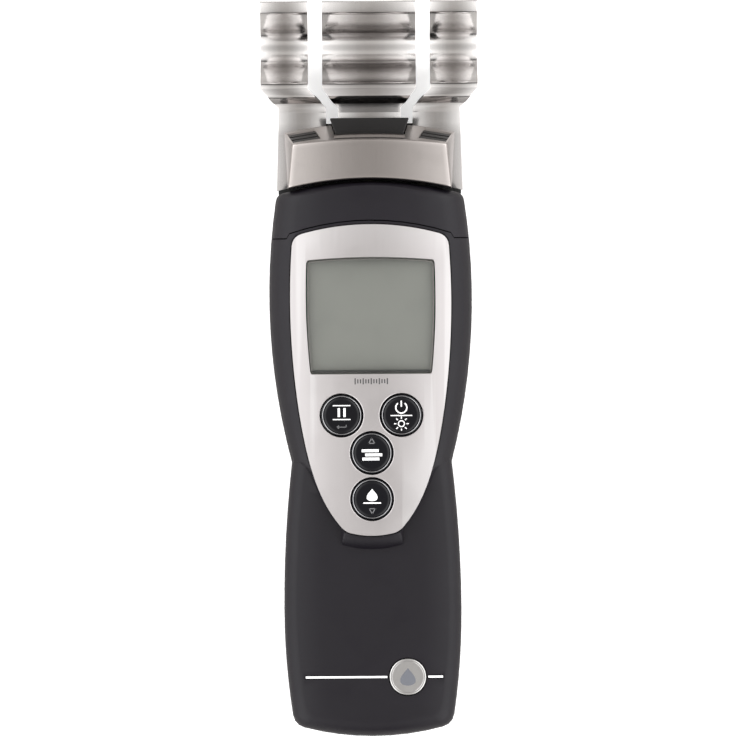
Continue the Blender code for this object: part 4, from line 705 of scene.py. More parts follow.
def outline(half_at, top_edge, bottom_edge, top_round, bottom_round, steps):
    """Closed loop of a piece that is the same on its left and right."""
    top_y = meeting(half_at, top_edge)
    low_y = meeting(half_at, bottom_edge)
    points = [(x, top_edge(x)) for x in between(0.0, half_at(top_y) - top_round, 10)]
    side = (half_at(top_y - top_round), top_y - top_round)
    points += rounded(points[-1], (half_at(top_y), top_y), side)
    points += [(half_at(y), y) for y in between(top_y - top_round, low_y + bottom_round, steps)]
    low_start = (half_at(low_y) - bottom_round, bottom_edge(half_at(low_y) - bottom_round))
    points += rounded(points[-1], (half_at(low_y), low_y), low_start)
    points += [(x, bottom_edge(x)) for x in between(low_start[0], 0.0, 8)]
    return points + [(-x, y) for x, y in reversed(points[1:-1])]


SHIELD_HALF = SHIELD[1].x
SHIELD_TOP = SHIELD[1].y
SHIELD_LOW = SHIELD[0].y
SHIELD_WIDEST = SHIELD_LOW + 74.5 * MM
SHIELD_SIDE_RADIUS = 235 * MM
TIP_HALF = 8.8 * MM
TIP_Y = SHIELD_LOW + 1.6 * MM


def shield_half(y):
    """Half width of the shield."""
    if y >= SHIELD_WIDEST:
        return SHIELD_HALF - bow(SHIELD_SIDE_RADIUS, y - SHIELD_WIDEST)
    reach = (SHIELD_WIDEST - y) / (SHIELD_WIDEST - TIP_Y)
    taper = 0.66 * reach ** 2 + 0.34 * reach ** 8
    return SHIELD_HALF - (SHIELD_HALF - TIP_HALF) * taper


def shield_loop():
    """Outline of the shield."""
    return outline(shield_half, lambda x: SHIELD_TOP - bow(82 * MM, x),
                   lambda x: SHIELD_LOW + bow(28 * MM, x), 3.0 * MM, 1.6 * MM, 44)


PANE_HALF = PANE[1].x
PANE_WIDEST = PANE[0].y + 24.3 * MM


def pane_loop(grow):
    """Outline of the window, larger by an amount all round."""
    def half(y):
        return PANE_HALF + grow - bow(SHIELD_SIDE_RADIUS, y - PANE_WIDEST)
    return outline(half, lambda x: PANE[1].y + grow - bow(215 * MM, x), lambda x: PANE[0].y - grow,
                   0.9 * MM, 0.9 * MM, 16)


def key_place(name):
    """Middle of a key."""
    low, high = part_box("key_" + name)
    return (low.x + high.x) / 2, (low.y + high.y) / 2


# ---------------------------------------------------------------- symbols

def flat_shape(points):
    """Flat face through a few points."""
    bpy.ops.object.select_all(action="DESELECT")
    bpy.ops.mesh.primitive_circle_add(vertices=len(points), radius=0.01, fill_type="NGON")
    piece = bpy.context.object
    for vertex, place in zip(piece.data.vertices, points):
        vertex.co = (place[0], place[1], 0.0)
    return piece


def bar(x, y, width, height, turn=0.0):
    """Flat bar with its middle at a place, turned about it."""
    points = []
    for a, b in ((-1, -1), (1, -1), (1, 1), (-1, 1)):
        corner = Matrix.Rotation(turn, 2) @ Vector((a * width / 2, b * height / 2))
        points.append((x + corner.x, y + corner.y))
    return flat_shape(points)


def ring(x, y, radius, width, start=0.0, sweep=2 * math.pi):
    """Flat ring or part of one, running anticlockwise: a short edge spun about the middle."""
    across = Matrix.Rotation(start, 2) @ Vector((1.0, 0.0))
    piece = bar(x, y, width, width)
    shape = open_piece(piece)
    shape.verts.ensure_lookup_table()
    bmesh.ops.delete(shape, geom=list(shape.faces), context="FACES_ONLY")
    bmesh.ops.delete(shape, geom=shape.verts[2:], context="VERTS")
    for vertex, side in zip(shape.verts, (-1, 1)):
        end = across * (radius + side * width / 2)
        vertex.co = (x + end.x, y + end.y, 0.0)
    bmesh.update_edit_mesh(piece.data)
    bpy.ops.mesh.select_all(action="SELECT")
    bpy.ops.mesh.spin(steps=32, angle=-sweep, center=(x, y, 0.0), axis=(0.0, 0.0, 1.0))
    bpy.ops.mesh.select_all(action="SELECT")
    bpy.ops.mesh.remove_doubles(threshold=1e-6)
    bpy.ops.object.mode_set(mode="OBJECT")
    return piece


def triangle(x, y, size, up=True):
    """Small outlined arrowhead."""
    sign = 1 if up else -1
    line = size * 0.16
    pieces = []
    corners = [Vector((-size / 2, -sign * size * 0.35)), Vector((size / 2, -sign * size * 0.35)),
               Vector((0.0, sign * size * 0.5))]
    for start, stop in zip(corners, corners[1:] + corners[:1]):
        middle = (start + stop) / 2
        along = stop - start
        turn = math.atan2(along.y, along.x)
        pieces.append(bar(x + middle.x, y + middle.y, along.length + line, line, turn))
    return pieces


def power_symbol(x, y, line):
    """Ring with a gap and a bar."""
    gap = math.radians(38)
    return [ring(x, y, 1.75 * MM, line, math.pi / 2 + gap, 2 * math.pi - 2 * gap),
            bar(x, y + 1.25 * MM, line, 1.9 * MM)]


def sun_symbol(x, y, line):
    """Small ring with eight rays."""
    thin = line * 0.8
    reach = 1.95 * MM
    pieces = [ring(x, y, 0.95 * MM, thin)]
    for step in range(8):
        angle = step * math.pi / 4
        end_x = x + reach * math.cos(angle)
        end_y = y + reach * math.sin(angle)
        pieces.append(bar(end_x, end_y, 0.75 * MM, thin, angle))
    return pieces


def pause_symbol(x, y, line):
    """Two bars between a low and a high mark, for holding a reading."""
    pieces = [bar(x + side * 0.9 * MM, y, line * 1.7, 2.8 * MM) for side in (-1, 1)]
    pieces += [bar(x, y + side * 2.2 * MM, 5.6 * MM, line * 0.8) for side in (-1, 1)]
    return pieces


def planks_symbol(x, y, line):
    """Three staggered boards."""
    pieces = []
    for row, shift in ((1, -0.5), (0, 0.6), (-1, -0.3)):
        pieces.append(bar(x + shift * MM, y + row * 1.3 * MM, 5.4 * MM, 0.9 * MM))
    return pieces


def drop_points(x, y, size):
    """Outline of a water drop."""
    points = []
    for step in range(28):
        angle = 2 * math.pi * step / 28
        wide = math.sin(angle) * (math.sin(angle / 2) ** 1.4)
        points.append((x + size * 0.62 * wide, y + size * 0.5 * math.cos(angle)))
    return points


def drop_symbol(x, y, line):
    """Water drop over a surface line."""
    return [flat_shape(drop_points(x, y + 0.6 * MM, 3.9 * MM)), bar(x, y - 1.95 * MM, 5.6 * MM, line)]


def enter_symbol(x, y, line):
    """Faint return arrow."""
    thin = line * 0.55
    return [bar(x, y, 2.8 * MM, thin), bar(x + 1.4 * MM, y + 0.35 * MM, thin, 0.7 * MM),
            bar(x - 1.2 * MM, y + 0.25 * MM, 0.8 * MM, thin, math.radians(38)),
            bar(x - 1.2 * MM, y - 0.25 * MM, 0.8 * MM, thin, math.radians(-38))]


def inlay(pieces, height):
    """Join flat shapes, give them a thickness and lay them at a height."""
    piece = join_pieces(pieces)
    open_piece(piece)
    bpy.ops.mesh.select_all(action="SELECT")
    bpy.ops.mesh.normals_make_consistent(inside=False)
    bpy.ops.object.mode_set(mode="OBJECT")
    modify(piece, "SOLIDIFY", thickness=RELIEF * 2, offset=0.0)
    piece.location.z = height
    apply_place(piece)
    return piece


# ---------------------------------------------------------------- pieces

def refine_shell(node_name, label):
    """A housing shell: a merged copy of its node, shaded smooth between its seams."""
    piece = copy_node(node_name, label)
    smooth(piece, 40.0)
    return settle(piece, label, "housing", "housing", "housing_black", node_name)


def make_shield():
    """Silver shield with a lipped window opening and four rimmed key holes."""
    sizes = bpy.context.scene.meter_sizes
    top = SHIELD[1].z - RELIEF
    piece = add_plate(shield_loop(), top - SHIELD_THICKNESS, top)
    cut(piece, add_plate(pane_loop(PANE_GAP), top - CUT_REACH, top + CUT_REACH))
    hole = (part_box("key_up")[1].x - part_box("key_up")[0].x) / 2 + HOLE_GAP
    centres = [Vector(key_place(name)) for name in KEYS]
    for centre in centres:
        cut(piece, add_round(centre, hole, top - CUT_REACH, top + CUT_REACH))
    middle = (PANE[0].y + PANE[1].y) / 2
    open_piece(piece)

    def on_lip(edge):
        places = [vertex.co for vertex in edge.verts]
        inside = all(abs(p.x) < PANE_HALF + 1 * MM and abs(p.y - middle) < 20 * MM for p in places)
        return inside and all(p.z > top - 0.1 * MM for p in places) and len(edge.link_faces) == 2 \
            and edge.calc_face_angle() > 1.0

    def on_hole(edge):
        places = [vertex.co for vertex in edge.verts]
        near = any(all(abs((p.xy - centre).length - hole) < 0.1 * MM for p in places) for centre in centres)
        return near and all(p.z > top - 0.1 * MM for p in places)
    pick(piece, "EDGE", on_lip)
    bpy.ops.mesh.bevel(offset=sizes.lip, segments=4, profile=0.5, affect="EDGES")
    pick(piece, "EDGE", on_hole)
    bpy.ops.mesh.bevel(offset=sizes.hole_round, segments=4, profile=0.5, affect="EDGES")
    close_piece()
    round_edges(piece, sizes.shield_edge * 0.7, 3, 50.0)
    crown(piece, CROWN_RADIUS)
    smooth(piece, 38.0)
    modify(piece, "WEIGHTED_NORMAL", keep_sharp=True)
    return settle(piece, "shield", "housing", "shield", "fascia_silver", "fascia_bezel")


def make_window():
    """Clear pane, its printed border, a dark bar painted as the shadow along its bottom edge, and the display
    behind them.
    """
    sizes = bpy.context.scene.meter_sizes
    pane = add_plate(pane_loop(0.0), PANE[0].z, PANE[1].z)
    round_edges(pane, 0.15 * MM, 2, 50.0)
    smooth(pane)
    settle(pane, "window_pane", "housing", "pane", "window_clear", "display_window")
    low = PANE[0].z - 0.22 * MM
    border = add_plate(pane_loop(0.0), low, low + 0.12 * MM)
    cut(border, add_plate(pane_loop(-sizes.mask), low - 1 * MM, low + 1 * MM))
    settle(border, "window_border", "housing", "mask", "insulator_black")
    # painted shadow: a near-black bar along the bottom of the window stands for the shade of the recess
    shadow_bar = inlay([bar(0.0, PANE[0].y + 0.5 * MM, 2 * PANE_HALF - 3.2 * MM, 0.8 * MM)], low + 0.13 * MM)
    settle(shadow_bar, "window_shadow_bar", "housing", "shadow_bar", "insulator_black")
    half = GLASS[1].x
    loop = [(-half, GLASS[0].y), (half, GLASS[0].y), (half, GLASS[1].y), (-half, GLASS[1].y)]
    glass = add_plate(loop, GLASS[0].z, GLASS[1].z - 0.02 * MM)
    round_edges(glass, 0.12 * MM, 2, 50.0)
    smooth(glass)
    return settle(glass, "display_glass", "housing", "display", "display_grey", "lcd_glass")


def make_mark():
    """Row of small scale ticks below the window."""
    y = PANE[0].y - 2.7 * MM
    pieces = []
    for step in range(13):
        tall = LONG_TICK if step % 3 == 0 else SHORT_TICK
        pieces.append(bar((step - 6) * TICK_PITCH, y, TICK_WIDTH, tall))
    piece = inlay(pieces, SHIELD[1].z - RELIEF)
    shape = open_piece(piece)
    for vertex in shape.verts:
        vertex.co.z -= bow(CROWN_RADIUS, vertex.co.x)
    close_piece()
    return settle(piece, "scale_ticks", "housing", "mark", "insulator_black")


def make_key(name):
    """Round gloss key: rounded rim, shallow groove and a faintly dished top."""
    sizes = bpy.context.scene.meter_sizes
    low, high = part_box("key_" + name)
    x, y = key_place(name)
    radius = (high.x - low.x) / 2
    top = high.z
    piece = add_round((x, y), radius, top - KEY_CAP, top, 80)
    open_piece(piece)

    def is_top(face):
        return face.normal.z > 0.9 and len(face.verts) > 8
    pick(piece, "FACE", is_top)
    bpy.ops.mesh.bevel(offset=sizes.key_round, segments=5, profile=0.5, affect="EDGES")
    pick(piece, "FACE", is_top)
    for thickness, depth in KEY_TOP_STEPS:
        bpy.ops.mesh.inset(thickness=thickness, depth=depth)
    pick(piece, "FACE", lambda face: face.normal.z < -0.9)
    bpy.ops.mesh.inset(thickness=radius * KEY_STEM_INSET, depth=0.0)
    bpy.ops.mesh.extrude_region_move(TRANSFORM_OT_translate={"value": (0.0, 0.0, low.z - (top - KEY_CAP))})
    close_piece()
    smooth(piece, 30.0)
    settle(piece, "keycap_" + name, "key_" + name, "key", "key_gloss", "key_" + name)
    bpy.ops.object.select_all(action="DESELECT")
    bpy.ops.mesh.primitive_torus_add(location=(x, y, top - KEY_RING_SIZE), major_segments=72,
                                     minor_segments=8, major_radius=radius - KEY_RING_INSET,
                                     minor_radius=KEY_RING_SIZE)
    band = bpy.context.object
    apply_place(band)
    smooth(band)
    settle(band, "key_ring_" + name, "key_" + name, "key_ring", "fascia_silver")
    return x, y, top - SYMBOL_DROP


def make_symbols(name, x, y, height):
    """White and faint symbols on one key."""
    line = bpy.context.scene.meter_sizes.symbol_line
    faint = []
    if name == "power":
        white = power_symbol(x, y + 2.35 * MM, line) + [bar(x, y - 0.15 * MM, 6.8 * MM, line * 0.8)]
        white += sun_symbol(x, y - 2.75 * MM, line)
    elif name == "hold":
        white = pause_symbol(x, y + 0.9 * MM, line)
        faint = enter_symbol(x, y - 3.7 * MM, line)
    elif name == "up":
        white = planks_symbol(x, y - 0.6 * MM, line)
        faint = triangle(x, y + 3.7 * MM, 1.9 * MM, True)
    else:
        white = drop_symbol(x, y + 0.7 * MM, line)
        faint = triangle(x, y - 3.7 * MM, 1.9 * MM, False)
    body = "key_" + name
    settle(inlay(white, height), "symbol_" + name, body, "symbol", "trim_white")
    if faint:
        settle(inlay(faint, height), "hint_" + name, body, "faint", "trim_white")


def rounded_path(corners, steps):
    """Path through (y, z, radius) corners, each rounded by an arc."""
    path = [Vector(corners[0][:2])]
    for before, corner, after in zip(corners, corners[1:], corners[2:]):
        here = Vector(corner[:2])
        back = (Vector(before[:2]) - here).normalized()
        ahead = (Vector(after[:2]) - here).normalized()
        half_angle = back.angle(ahead) / 2
        reach = corner[2] / math.tan(half_angle)
        centre = here + (back + ahead).normalized() * (corner[2] / math.sin(half_angle))
        start = here + back * reach - centre
        stop = here + ahead * reach - centre
        turn = math.atan2(start.cross(stop), start.dot(stop))
        for step in range(steps + 1):
            path.append(centre + Matrix.Rotation(turn * step / steps, 2) @ start)
    path.append(Vector(corners[-1][:2]))
    return path


def blade_path(start_y, steps):
    """Side view of a blade: flat foot, fold, crest, trough and turned-up tip."""
    corners = [(start_y, FOOT_Z, 0.0)]
    corners += [(BLADE_BASE_Y + along, height, radius) for along, height, radius in BLADE_BENDS]
    corners.append((HIGH.y - TIP_MARGIN, FAR_CREST_Z + TIP_RISE, 0.0))
    path = []
    rounds = rounded_path(corners, steps)
    for start, stop in zip(rounds, rounds[1:]):
        path.append(start)
        for y in (NECK_END, SHOULDER):
            if start.x + 1e-5 < y < stop.x - 1e-5:
                path.append(start.lerp(stop, (y - start.x) / (stop.x - start.x)))
    return path + [rounds[-1]]


def widening(y):
    """Share from 0 at the neck to 1 at the full width of a blade."""
    return min(max((y - NECK_END) / (SHOULDER - NECK_END), 0.0), 1.0)


def centre_sides(y):
    """The two sides of the centre blade."""
    full = CENTRE_BLADE[1].x
    half = NECK_HALF + (full - NECK_HALF) * widening(y)
    return -half, half


def right_sides(y):
    """The two sides of the right blade."""
    outer = HIGH.x
    shift = NECK_SHIFT * (1 - widening(y))
    flare = FLARE * min(max((BLADE_BASE_Y - y) / FLARE_LENGTH, 0.0), 1.0)
    return outer - OUTER_WIDTH - shift, outer - shift + flare


def left_sides(y):
    """The two sides of the left blade."""
    inner, outer = right_sides(y)
    return -outer, -inner


def make_blade(label, start_y, sides, drop, node_name):
    """Bent sheet: a plane extruded along the side view, then given its thickness."""
    sizes = bpy.context.scene.meter_sizes
    path = blade_path(start_y, int(sizes.bend_steps))
    bpy.ops.object.select_all(action="DESELECT")
    bpy.ops.mesh.primitive_plane_add(size=1.0)
    piece = bpy.context.object
    shape = open_piece(piece)
    shape.verts.ensure_lookup_table()
    for vertex, point, side in zip(shape.verts, (path[0], path[0], path[1], path[1]), (0, 1, 0, 1)):
        x = sides(point.x)[side]
        fall = bow(CROWN_RADIUS, x) if point is path[0] and drop else 0.0
        vertex.co = (x, point.x - fall, point.y)
    bmesh.update_edit_mesh(piece.data)
    pick(piece, "EDGE", lambda edge: all(vertex.co.y > path[1].x - 1e-6 for vertex in edge.verts))
    for before, point in zip(path[1:], path[2:]):
        step = (0.0, point.x - before.x, point.y - before.y)
        bpy.ops.mesh.extrude_region_move(TRANSFORM_OT_translate={"value": step})
        shape = bmesh.from_edit_mesh(piece.data)
        ends = sorted((v for v in shape.verts if v.select), key=lambda v: v.co.x)
        for vertex, x in zip(ends, sides(point.x)):
            vertex.co.x = x
        bmesh.update_edit_mesh(piece.data)
    close_piece()
    modify(piece, "SOLIDIFY", thickness=sizes.sheet, offset=0.0, use_even_offset=True)
    round_edges(piece, 0.14 * MM, 2, 50.0)
    smooth(piece, 30.0)
    return settle(piece, label, "housing", "blade", "electrode_steel", node_name)


def head_end(x):
    """Where the bowed end of the head lies."""
    return COVER[1].y - bow(HEAD_END_RADIUS, x)


def hood_point(across, along, halves, top_y, top_radius, trim):
    """Plan point of the hood: across runs -1 to 1, along runs 0 at the foot to 1 at the top."""
    half = halves[0] + (halves[1] - halves[0]) * along - trim
    x = across * half
    foot = head_end(x) + HOOD_GAP + trim
    top = top_y - bow(top_radius, x) - trim
    return x, foot + (top - foot) * along


def hood_volume(trim, low, wide=48, long=10):
    """Hood between its flat foot and its crowned face."""
    face_z = FACE_Z - HOOD_FACE_DROP - trim
    base = ((HOOD_HALF, HOOD_BASE_HALF), BLADE_BASE_Y, HOOD_BASE_RADIUS)
    face = ((HOOD_HALF, HOOD_FACE_HALF), HOOD_FACE_Y, HOOD_FACE_RADIUS)
    rim = [(i, 0) for i in range(wide)] + [(wide, j) for j in range(long)]
    rim += [(i, long) for i in range(wide, 0, -1)] + [(0, j) for j in range(long, 0, -1)]
    shape = bmesh.new()

    def ring_at(halves, top_y, radius, inwards, height):
        made = []
        for i, j in rim:
            x, y = hood_point(2 * i / wide - 1, j / long, halves, top_y, radius, inwards)
            made.append(shape.verts.new((x, y, height(x))))
        return made
    rings = [ring_at(*base, trim, lambda x: low)]
    for step in range(4):
        turn = step / 4 * math.pi / 2
        inwards = trim + HOOD_EDGE * (1 - math.cos(turn))
        rings.append(ring_at(*face, inwards, lambda x: face_z - bow(CROWN_RADIUS, x)
                             - HOOD_EDGE * (1 - math.sin(turn))))
    grid = {}
    for i in range(wide + 1):
        for j in range(long + 1):
            x, y = hood_point(2 * i / wide - 1, j / long, *face, trim + HOOD_EDGE)
            grid[i, j] = shape.verts.new((x, y, face_z - bow(CROWN_RADIUS, x)))
    rings.append([grid[place] for place in rim])
    shape.faces.new(rings[0])
    for lower, upper in zip(rings, rings[1:]):
        for i in range(len(rim)):
            j = (i + 1) % len(rim)
            shape.faces.new((lower[i], lower[j], upper[j], upper[i]))
    for i in range(wide):
        for j in range(long):
            shape.faces.new((grid[i, j], grid[i + 1, j], grid[i + 1, j + 1], grid[i, j + 1]))
    bmesh.ops.recalc_face_normals(shape, faces=shape.faces)
    mesh = bpy.data.meshes.new("hood")
    shape.to_mesh(mesh)
    shape.free()
    piece = bpy.data.objects.new("hood", mesh)
    bpy.context.scene.collection.objects.link(piece)
    return piece


def slope_y(x, z):
    """Where the hood's sloped top lies at a height."""
    face_z = FACE_Z - HOOD_FACE_DROP - bow(CROWN_RADIUS, x)
    reach = (face_z - z) / (face_z - HOOD_LOW)
    high = HOOD_FACE_Y - bow(HOOD_FACE_RADIUS, x)
    low = BLADE_BASE_Y - bow(HOOD_BASE_RADIUS, x)
    return high + (low - high) * reach


def add_loft(rings):
    """Closed block through rings of the same number of points: a cube pulled to them."""
    bpy.ops.object.select_all(action="DESELECT")
    bpy.ops.mesh.primitive_cube_add(size=1.0)
    piece = bpy.context.object
    low = sorted(piece.data.vertices, key=lambda v: v.co.z)
    order = {(-1, -1): 0, (1, -1): 1, (1, 1): 2, (-1, 1): 3}
    for level, vertices in enumerate((low[:4], low[4:])):
        for vertex in vertices:
            corner = order[(1 if vertex.co.x > 0 else -1, 1 if vertex.co.y > 0 else -1)]
            vertex.co = rings[level][corner]
    open_piece(piece)
    close_piece()
    return piece


def slope_ring(sign, reach, inset, back, front):
    """Four corners across a recess, part of the way up the hood's slope."""
    z = POCKET_LOW + POCKET_TALL * reach
    inner = POCKET_INNER + inset - POCKET_LEAN * reach
    outer = POCKET_OUTER - inset - POCKET_LEAN * reach
    places = ((inner, back), (outer, back), (outer, front), (inner, front))
    corners = [(sign * x, slope_y(x, z) + proud, z) for x, proud in places]
    return corners if sign > 0 else [corners[k] for k in (1, 0, 3, 2)]


def pocket(sign):
    """Slanted recess in the hood's sloped top."""
    return add_loft([slope_ring(sign, reach, 0.0, -POCKET_DEPTH, 3 * MM) for reach in (0, 1)])


def ledge_slot():
    """Narrow slot across the slope, between the block and the hood's face."""
    high = [(x, HOOD_FACE_Y - bow(HOOD_FACE_RADIUS, x)) for x in between(LEDGE_HALF, -LEDGE_HALF, 16)]
    loop = [(x, y + 1.35 * MM) for x, y in high] + [(x, y + 0.45 * MM) for x, y in reversed(high)]
    return add_plate(loop, BLOCK[1].z + 1.2 * MM, HIGH.z + 1 * MM)


def block_loop(gap):
    """Plan of the insulating block: a wide nose and a narrower body."""
    top = BLOCK[1].y + gap
    bottom = top - BLOCK_NOSE - gap
    tail = BLOCK[0].y
    wide = BLOCK[1].x + gap
    narrow = BLOCK_HALF + gap
    return [(wide, top), (narrow, bottom), (narrow, tail), (-narrow, tail), (-narrow, bottom), (-wide, top)]


def make_hood():
    """Brushed hood with two recesses and a notch for the block."""
    piece = hood_volume(0.0, HOOD_LOW)
    below = HOOD_LOW - 2 * MM
    cut(piece, hood_volume(HOOD_WALL, below, 24, 4), "MANIFOLD")
    cut(piece, add_plate(block_loop(BLOCK_GAP), below, BLOCK[1].z + BLOCK_GAP), "MANIFOLD")
    for sign in (-1, 1):
        cut(piece, pocket(sign), "MANIFOLD")
    cut(piece, ledge_slot(), "MANIFOLD")
    smooth(piece, 30.0)
    return settle(piece, "hood", "housing", "hood", "collar_steel", "head_collar")


def make_pocket_strips():
    """Dark ribs that run across the two recesses of the hood."""
    pieces = []
    for sign in (-1, 1):
        for middle in RIB_PLACES:
            ends = (middle - RIB_REACH, middle + RIB_REACH)
            rings = [slope_ring(sign, reach, RIB_GAP, -RIB_BACK, -RIB_FRONT) for reach in ends]
            pieces.append(add_loft(rings))
    piece = join_pieces(pieces)
    return settle(piece, "hood_ribs", "housing", "insulator", "insulator_black")


def make_block():
    """Black block that holds the centre blade, with a softened nose."""
    piece = add_plate(block_loop(0.0), BLOCK[0].z, BLOCK[1].z)
    round_edges(piece, 0.5 * MM, 3, 40.0)
    smooth(piece)
    return settle(piece, "blade_block", "housing", "insulator", "insulator_black", "electrode_block")


def make_seal():
    """Dark seal along the bowed end of the head, under the feet of the blades."""
    edge = [(x, head_end(x)) for x in between(-SEAL_HALF, SEAL_HALF, 16)]
    loop = [(x, y + 0.03 * MM) for x, y in edge]
    loop += [(x, y + 0.95 * MM) for x, y in reversed(edge)]
    piece = add_plate(loop, 6.7 * MM, 16.7 * MM)
    return settle(piece, "head_seal", "housing", "rubber", "seal_rubber")


def make_badge():
    """Satin disc with a rounded rim and a water drop let into it."""
    low, high = BADGE
    x = (low.x + high.x) / 2
    y = (low.y + high.y) / 2
    piece = add_round((x, y), (high.x - low.x) / 2, low.z, high.z - 0.03 * MM, 72)
    open_piece(piece)
    pick(piece, "FACE", lambda face: face.normal.z > 0.9)
    bpy.ops.mesh.bevel(offset=0.4 * MM, segments=4, profile=0.5, affect="EDGES")
    pick(piece, "FACE", lambda face: face.normal.z > 0.9 and len(face.verts) > 8)
    bpy.ops.mesh.inset(thickness=0.35 * MM, depth=0.0)
    bpy.ops.mesh.inset(thickness=0.12 * MM, depth=-0.12 * MM)
    close_piece()
    smooth(piece)
    settle(piece, "badge", "housing", "badge", "badge_metal", "badge_disc")
    drop = inlay([flat_shape(drop_points(x, y, 5.6 * MM))], high.z - 0.12 * MM)
    return settle(drop, "badge_drop", "housing", "drop", "insulator_black")


def make_door():
    """Battery door with thumb ridges and an arrow."""
    piece = copy_node("battery_door", "door")
    middle = (DOOR[0].y + DOOR[1].y) / 2
    for step in range(6):
        low = middle + (step - 2.5) * GROOVE_PITCH
        high = low + GROOVE_WIDTH
        loop = [(-GRIP_HALF, low), (GRIP_HALF, low), (GRIP_HALF, high), (-GRIP_HALF, high)]
        cut(piece, add_plate(loop, -1 * MM, GROOVE_DEPTH), "MANIFOLD")
    low = middle - 14.0 * MM
    arrow = [(0.0, low), (4.0 * MM, low + 5.0 * MM), (-4.0 * MM, low + 5.0 * MM)]
    cut(piece, add_plate(arrow, -1 * MM, GROOVE_DEPTH), "MANIFOLD")
    smooth(piece, 40.0)
    return settle(piece, "door", "battery_door", "housing", "housing_black", "battery_door")


CARRIED = {
    "insulator": ("electrode_carrier", "battery_snap"),
    "rubber": ("head_gasket", "keypad_membrane", "zebra_strip_top", "zebra_strip_bottom", "battery_foam"),
    "white": ("lcd_frame", "backlight_panel"),
    "board": ("main_board",),
    "chip": ("microcontroller", "measuring_chip", "buzzer"),
    "contact": ("contact_spring_left", "contact_spring_centre", "contact_spring_right"),
    "plated": ("crystal_can", "shield_can", "dome_hold", "dome_power", "dome_up", "dome_down",
               "electrode_screw_left", "electrode_screw_right", "electrode_screw_centre",
               "housing_screw_1", "housing_screw_2", "housing_screw_3", "housing_screw_4",
               "housing_screw_5", "housing_screw_6"),
    "battery": ("battery_9v",),
    "red": ("battery_lead_red",),
    "black": ("battery_lead_black",),
    "trim": ("trim_line_left", "trim_line_right"),
}


# ---------------------------------------------------------------- stage

def make_floor():
    """Pale floor under the meter."""
    bpy.ops.object.select_all(action="DESELECT")
    bpy.ops.mesh.primitive_plane_add(size=6.0, location=(0.0, 0.0, -0.02 * MM))
    floor = bpy.context.object
    floor.name = "floor"
    material, tree, shader, place = start_material("floor_paper", 0.0, 0.0)
    surface = group(tree, "moulded_grain", {"Vector": place, "Grain": 1.5 * MM, "Patch": 90 * MM})
    pale = mixed(tree, surface.outputs["Patch"], (0.90, 0.90, 0.90, 1.0), (0.92, 0.92, 0.92, 1.0))
    ray = node(tree, "ShaderNodeLightPath")
    seen = mixed(tree, ray.outputs["Is Glossy Ray"], pale, (0.45, 0.44, 0.43, 1.0))
    glow = mixed(tree, ray.outputs["Is Glossy Ray"], (1.0, 1.0, 1.0, 1.0), (0.0, 0.0, 0.0, 1.0))
    tree.links.new(seen, shader.inputs["Base Color"])
    tree.links.new(glow, shader.inputs["Emission Color"])
    shader.inputs["Roughness"].default_value = 0.9
    shader.inputs["Emission Strength"].default_value = 0.35
    floor.data.materials.append(material)


# Light by how far a direction leans to the sides and to the ends: place, level and warmth
WALL_STOPS = ((0.0, 0.17, 0.91), (0.10, 0.20, 0.93), (0.20, 0.28, 0.96), (0.36, 0.50, 0.98),
              (0.50, 0.78, 1.0), (0.80, 0.95, 1.0), (1.0, 0.80, 1.0))
END_STOPS = ((0.0, 1.0, 1.0), (0.12, 1.15, 1.0), (0.30, 1.60, 1.0), (0.70, 1.60, 1.0), (0.88, 1.30, 1.0),
             (0.95, 0.15, 1.0), (1.0, 0.05, 1.0))
SEEN_LIGHT = 1.8
FILL_LIGHT = 2.7


def make_world():
    """Soft studio: dim overhead, bright walls left and right, dark ends."""
    world = bpy.data.worlds.new("studio")
    bpy.context.scene.world = world
    world.use_nodes = True
    tree = world.node_tree
    background = tree.nodes["Background"]
    way = node(tree, "ShaderNodeTexCoord").outputs["Generated"]
    parts = node(tree, "ShaderNodeSeparateXYZ", {"Vector": way})
    across = node(tree, "ShaderNodeMath", {0: parts.outputs[0]}, operation="ABSOLUTE")
    along = node(tree, "ShaderNodeMath", {0: parts.outputs[1]}, operation="ABSOLUTE")
    walls = ramp(tree, across.outputs[0], WALL_STOPS)
    ends = ramp(tree, along.outputs[0], END_STOPS)
    both = node(tree, "ShaderNodeMix", {"Factor": 1.0, 6: walls, 7: ends},
                data_type="RGBA", blend_type="MULTIPLY")
    tree.links.new(both.outputs[2], background.inputs["Color"])
    ray = node(tree, "ShaderNodeLightPath")
    fill = node(tree, "ShaderNodeMapRange", {"Value": ray.outputs["Is Diffuse Ray"], "To Min": SEEN_LIGHT,
                                             "To Max": FILL_LIGHT})
    tree.links.new(fill.outputs[0], background.inputs["Strength"])


def make_camera():
    """Camera straight above, turned by the small lean of the view."""
    distance = 6.0
    lean = 0.0075
    plane_z = 20 * MM
    width = 233.7 * MM
    bpy.ops.object.camera_add(location=(-1.0 * MM, 0.0, plane_z + distance), rotation=(0.0, 0.0, -lean))
    camera = bpy.context.object
    camera.data.sensor_width = 36.0
    camera.data.lens = 36.0 * distance / width
    camera.data.clip_start = 0.5
    camera.data.clip_end = 20.0
    bpy.context.scene.camera = camera


# ---------------------------------------------------------------- operators

class MeterOperator:
    """What all the meter's operators share."""

    bl_options = {"REGISTER", "UNDO"}

    def execute(self, context):
        self.make()
        return {"FINISHED"}


class METER_OT_housing(MeterOperator, bpy.types.Operator):
    """Make the front shell, the head cover and the back shell"""

    bl_idname = "meter.housing"
    bl_label = "Housing"

    def make(self):
        refine_shell("front_shell", "front_housing")
        refine_shell("head_cover", "head_housing")
        refine_shell("rear_shell", "back_housing")


class METER_OT_door(MeterOperator, bpy.types.Operator):
    """Make the battery door"""

    bl_idname = "meter.door"
    bl_label = "Battery door"

    def make(self):
        make_door()


class METER_OT_shield(MeterOperator, bpy.types.Operator):
    """Make the silver shield and its scale ticks"""

    bl_idname = "meter.shield"
    bl_label = "Shield"

    def make(self):
        make_shield()
        make_mark()


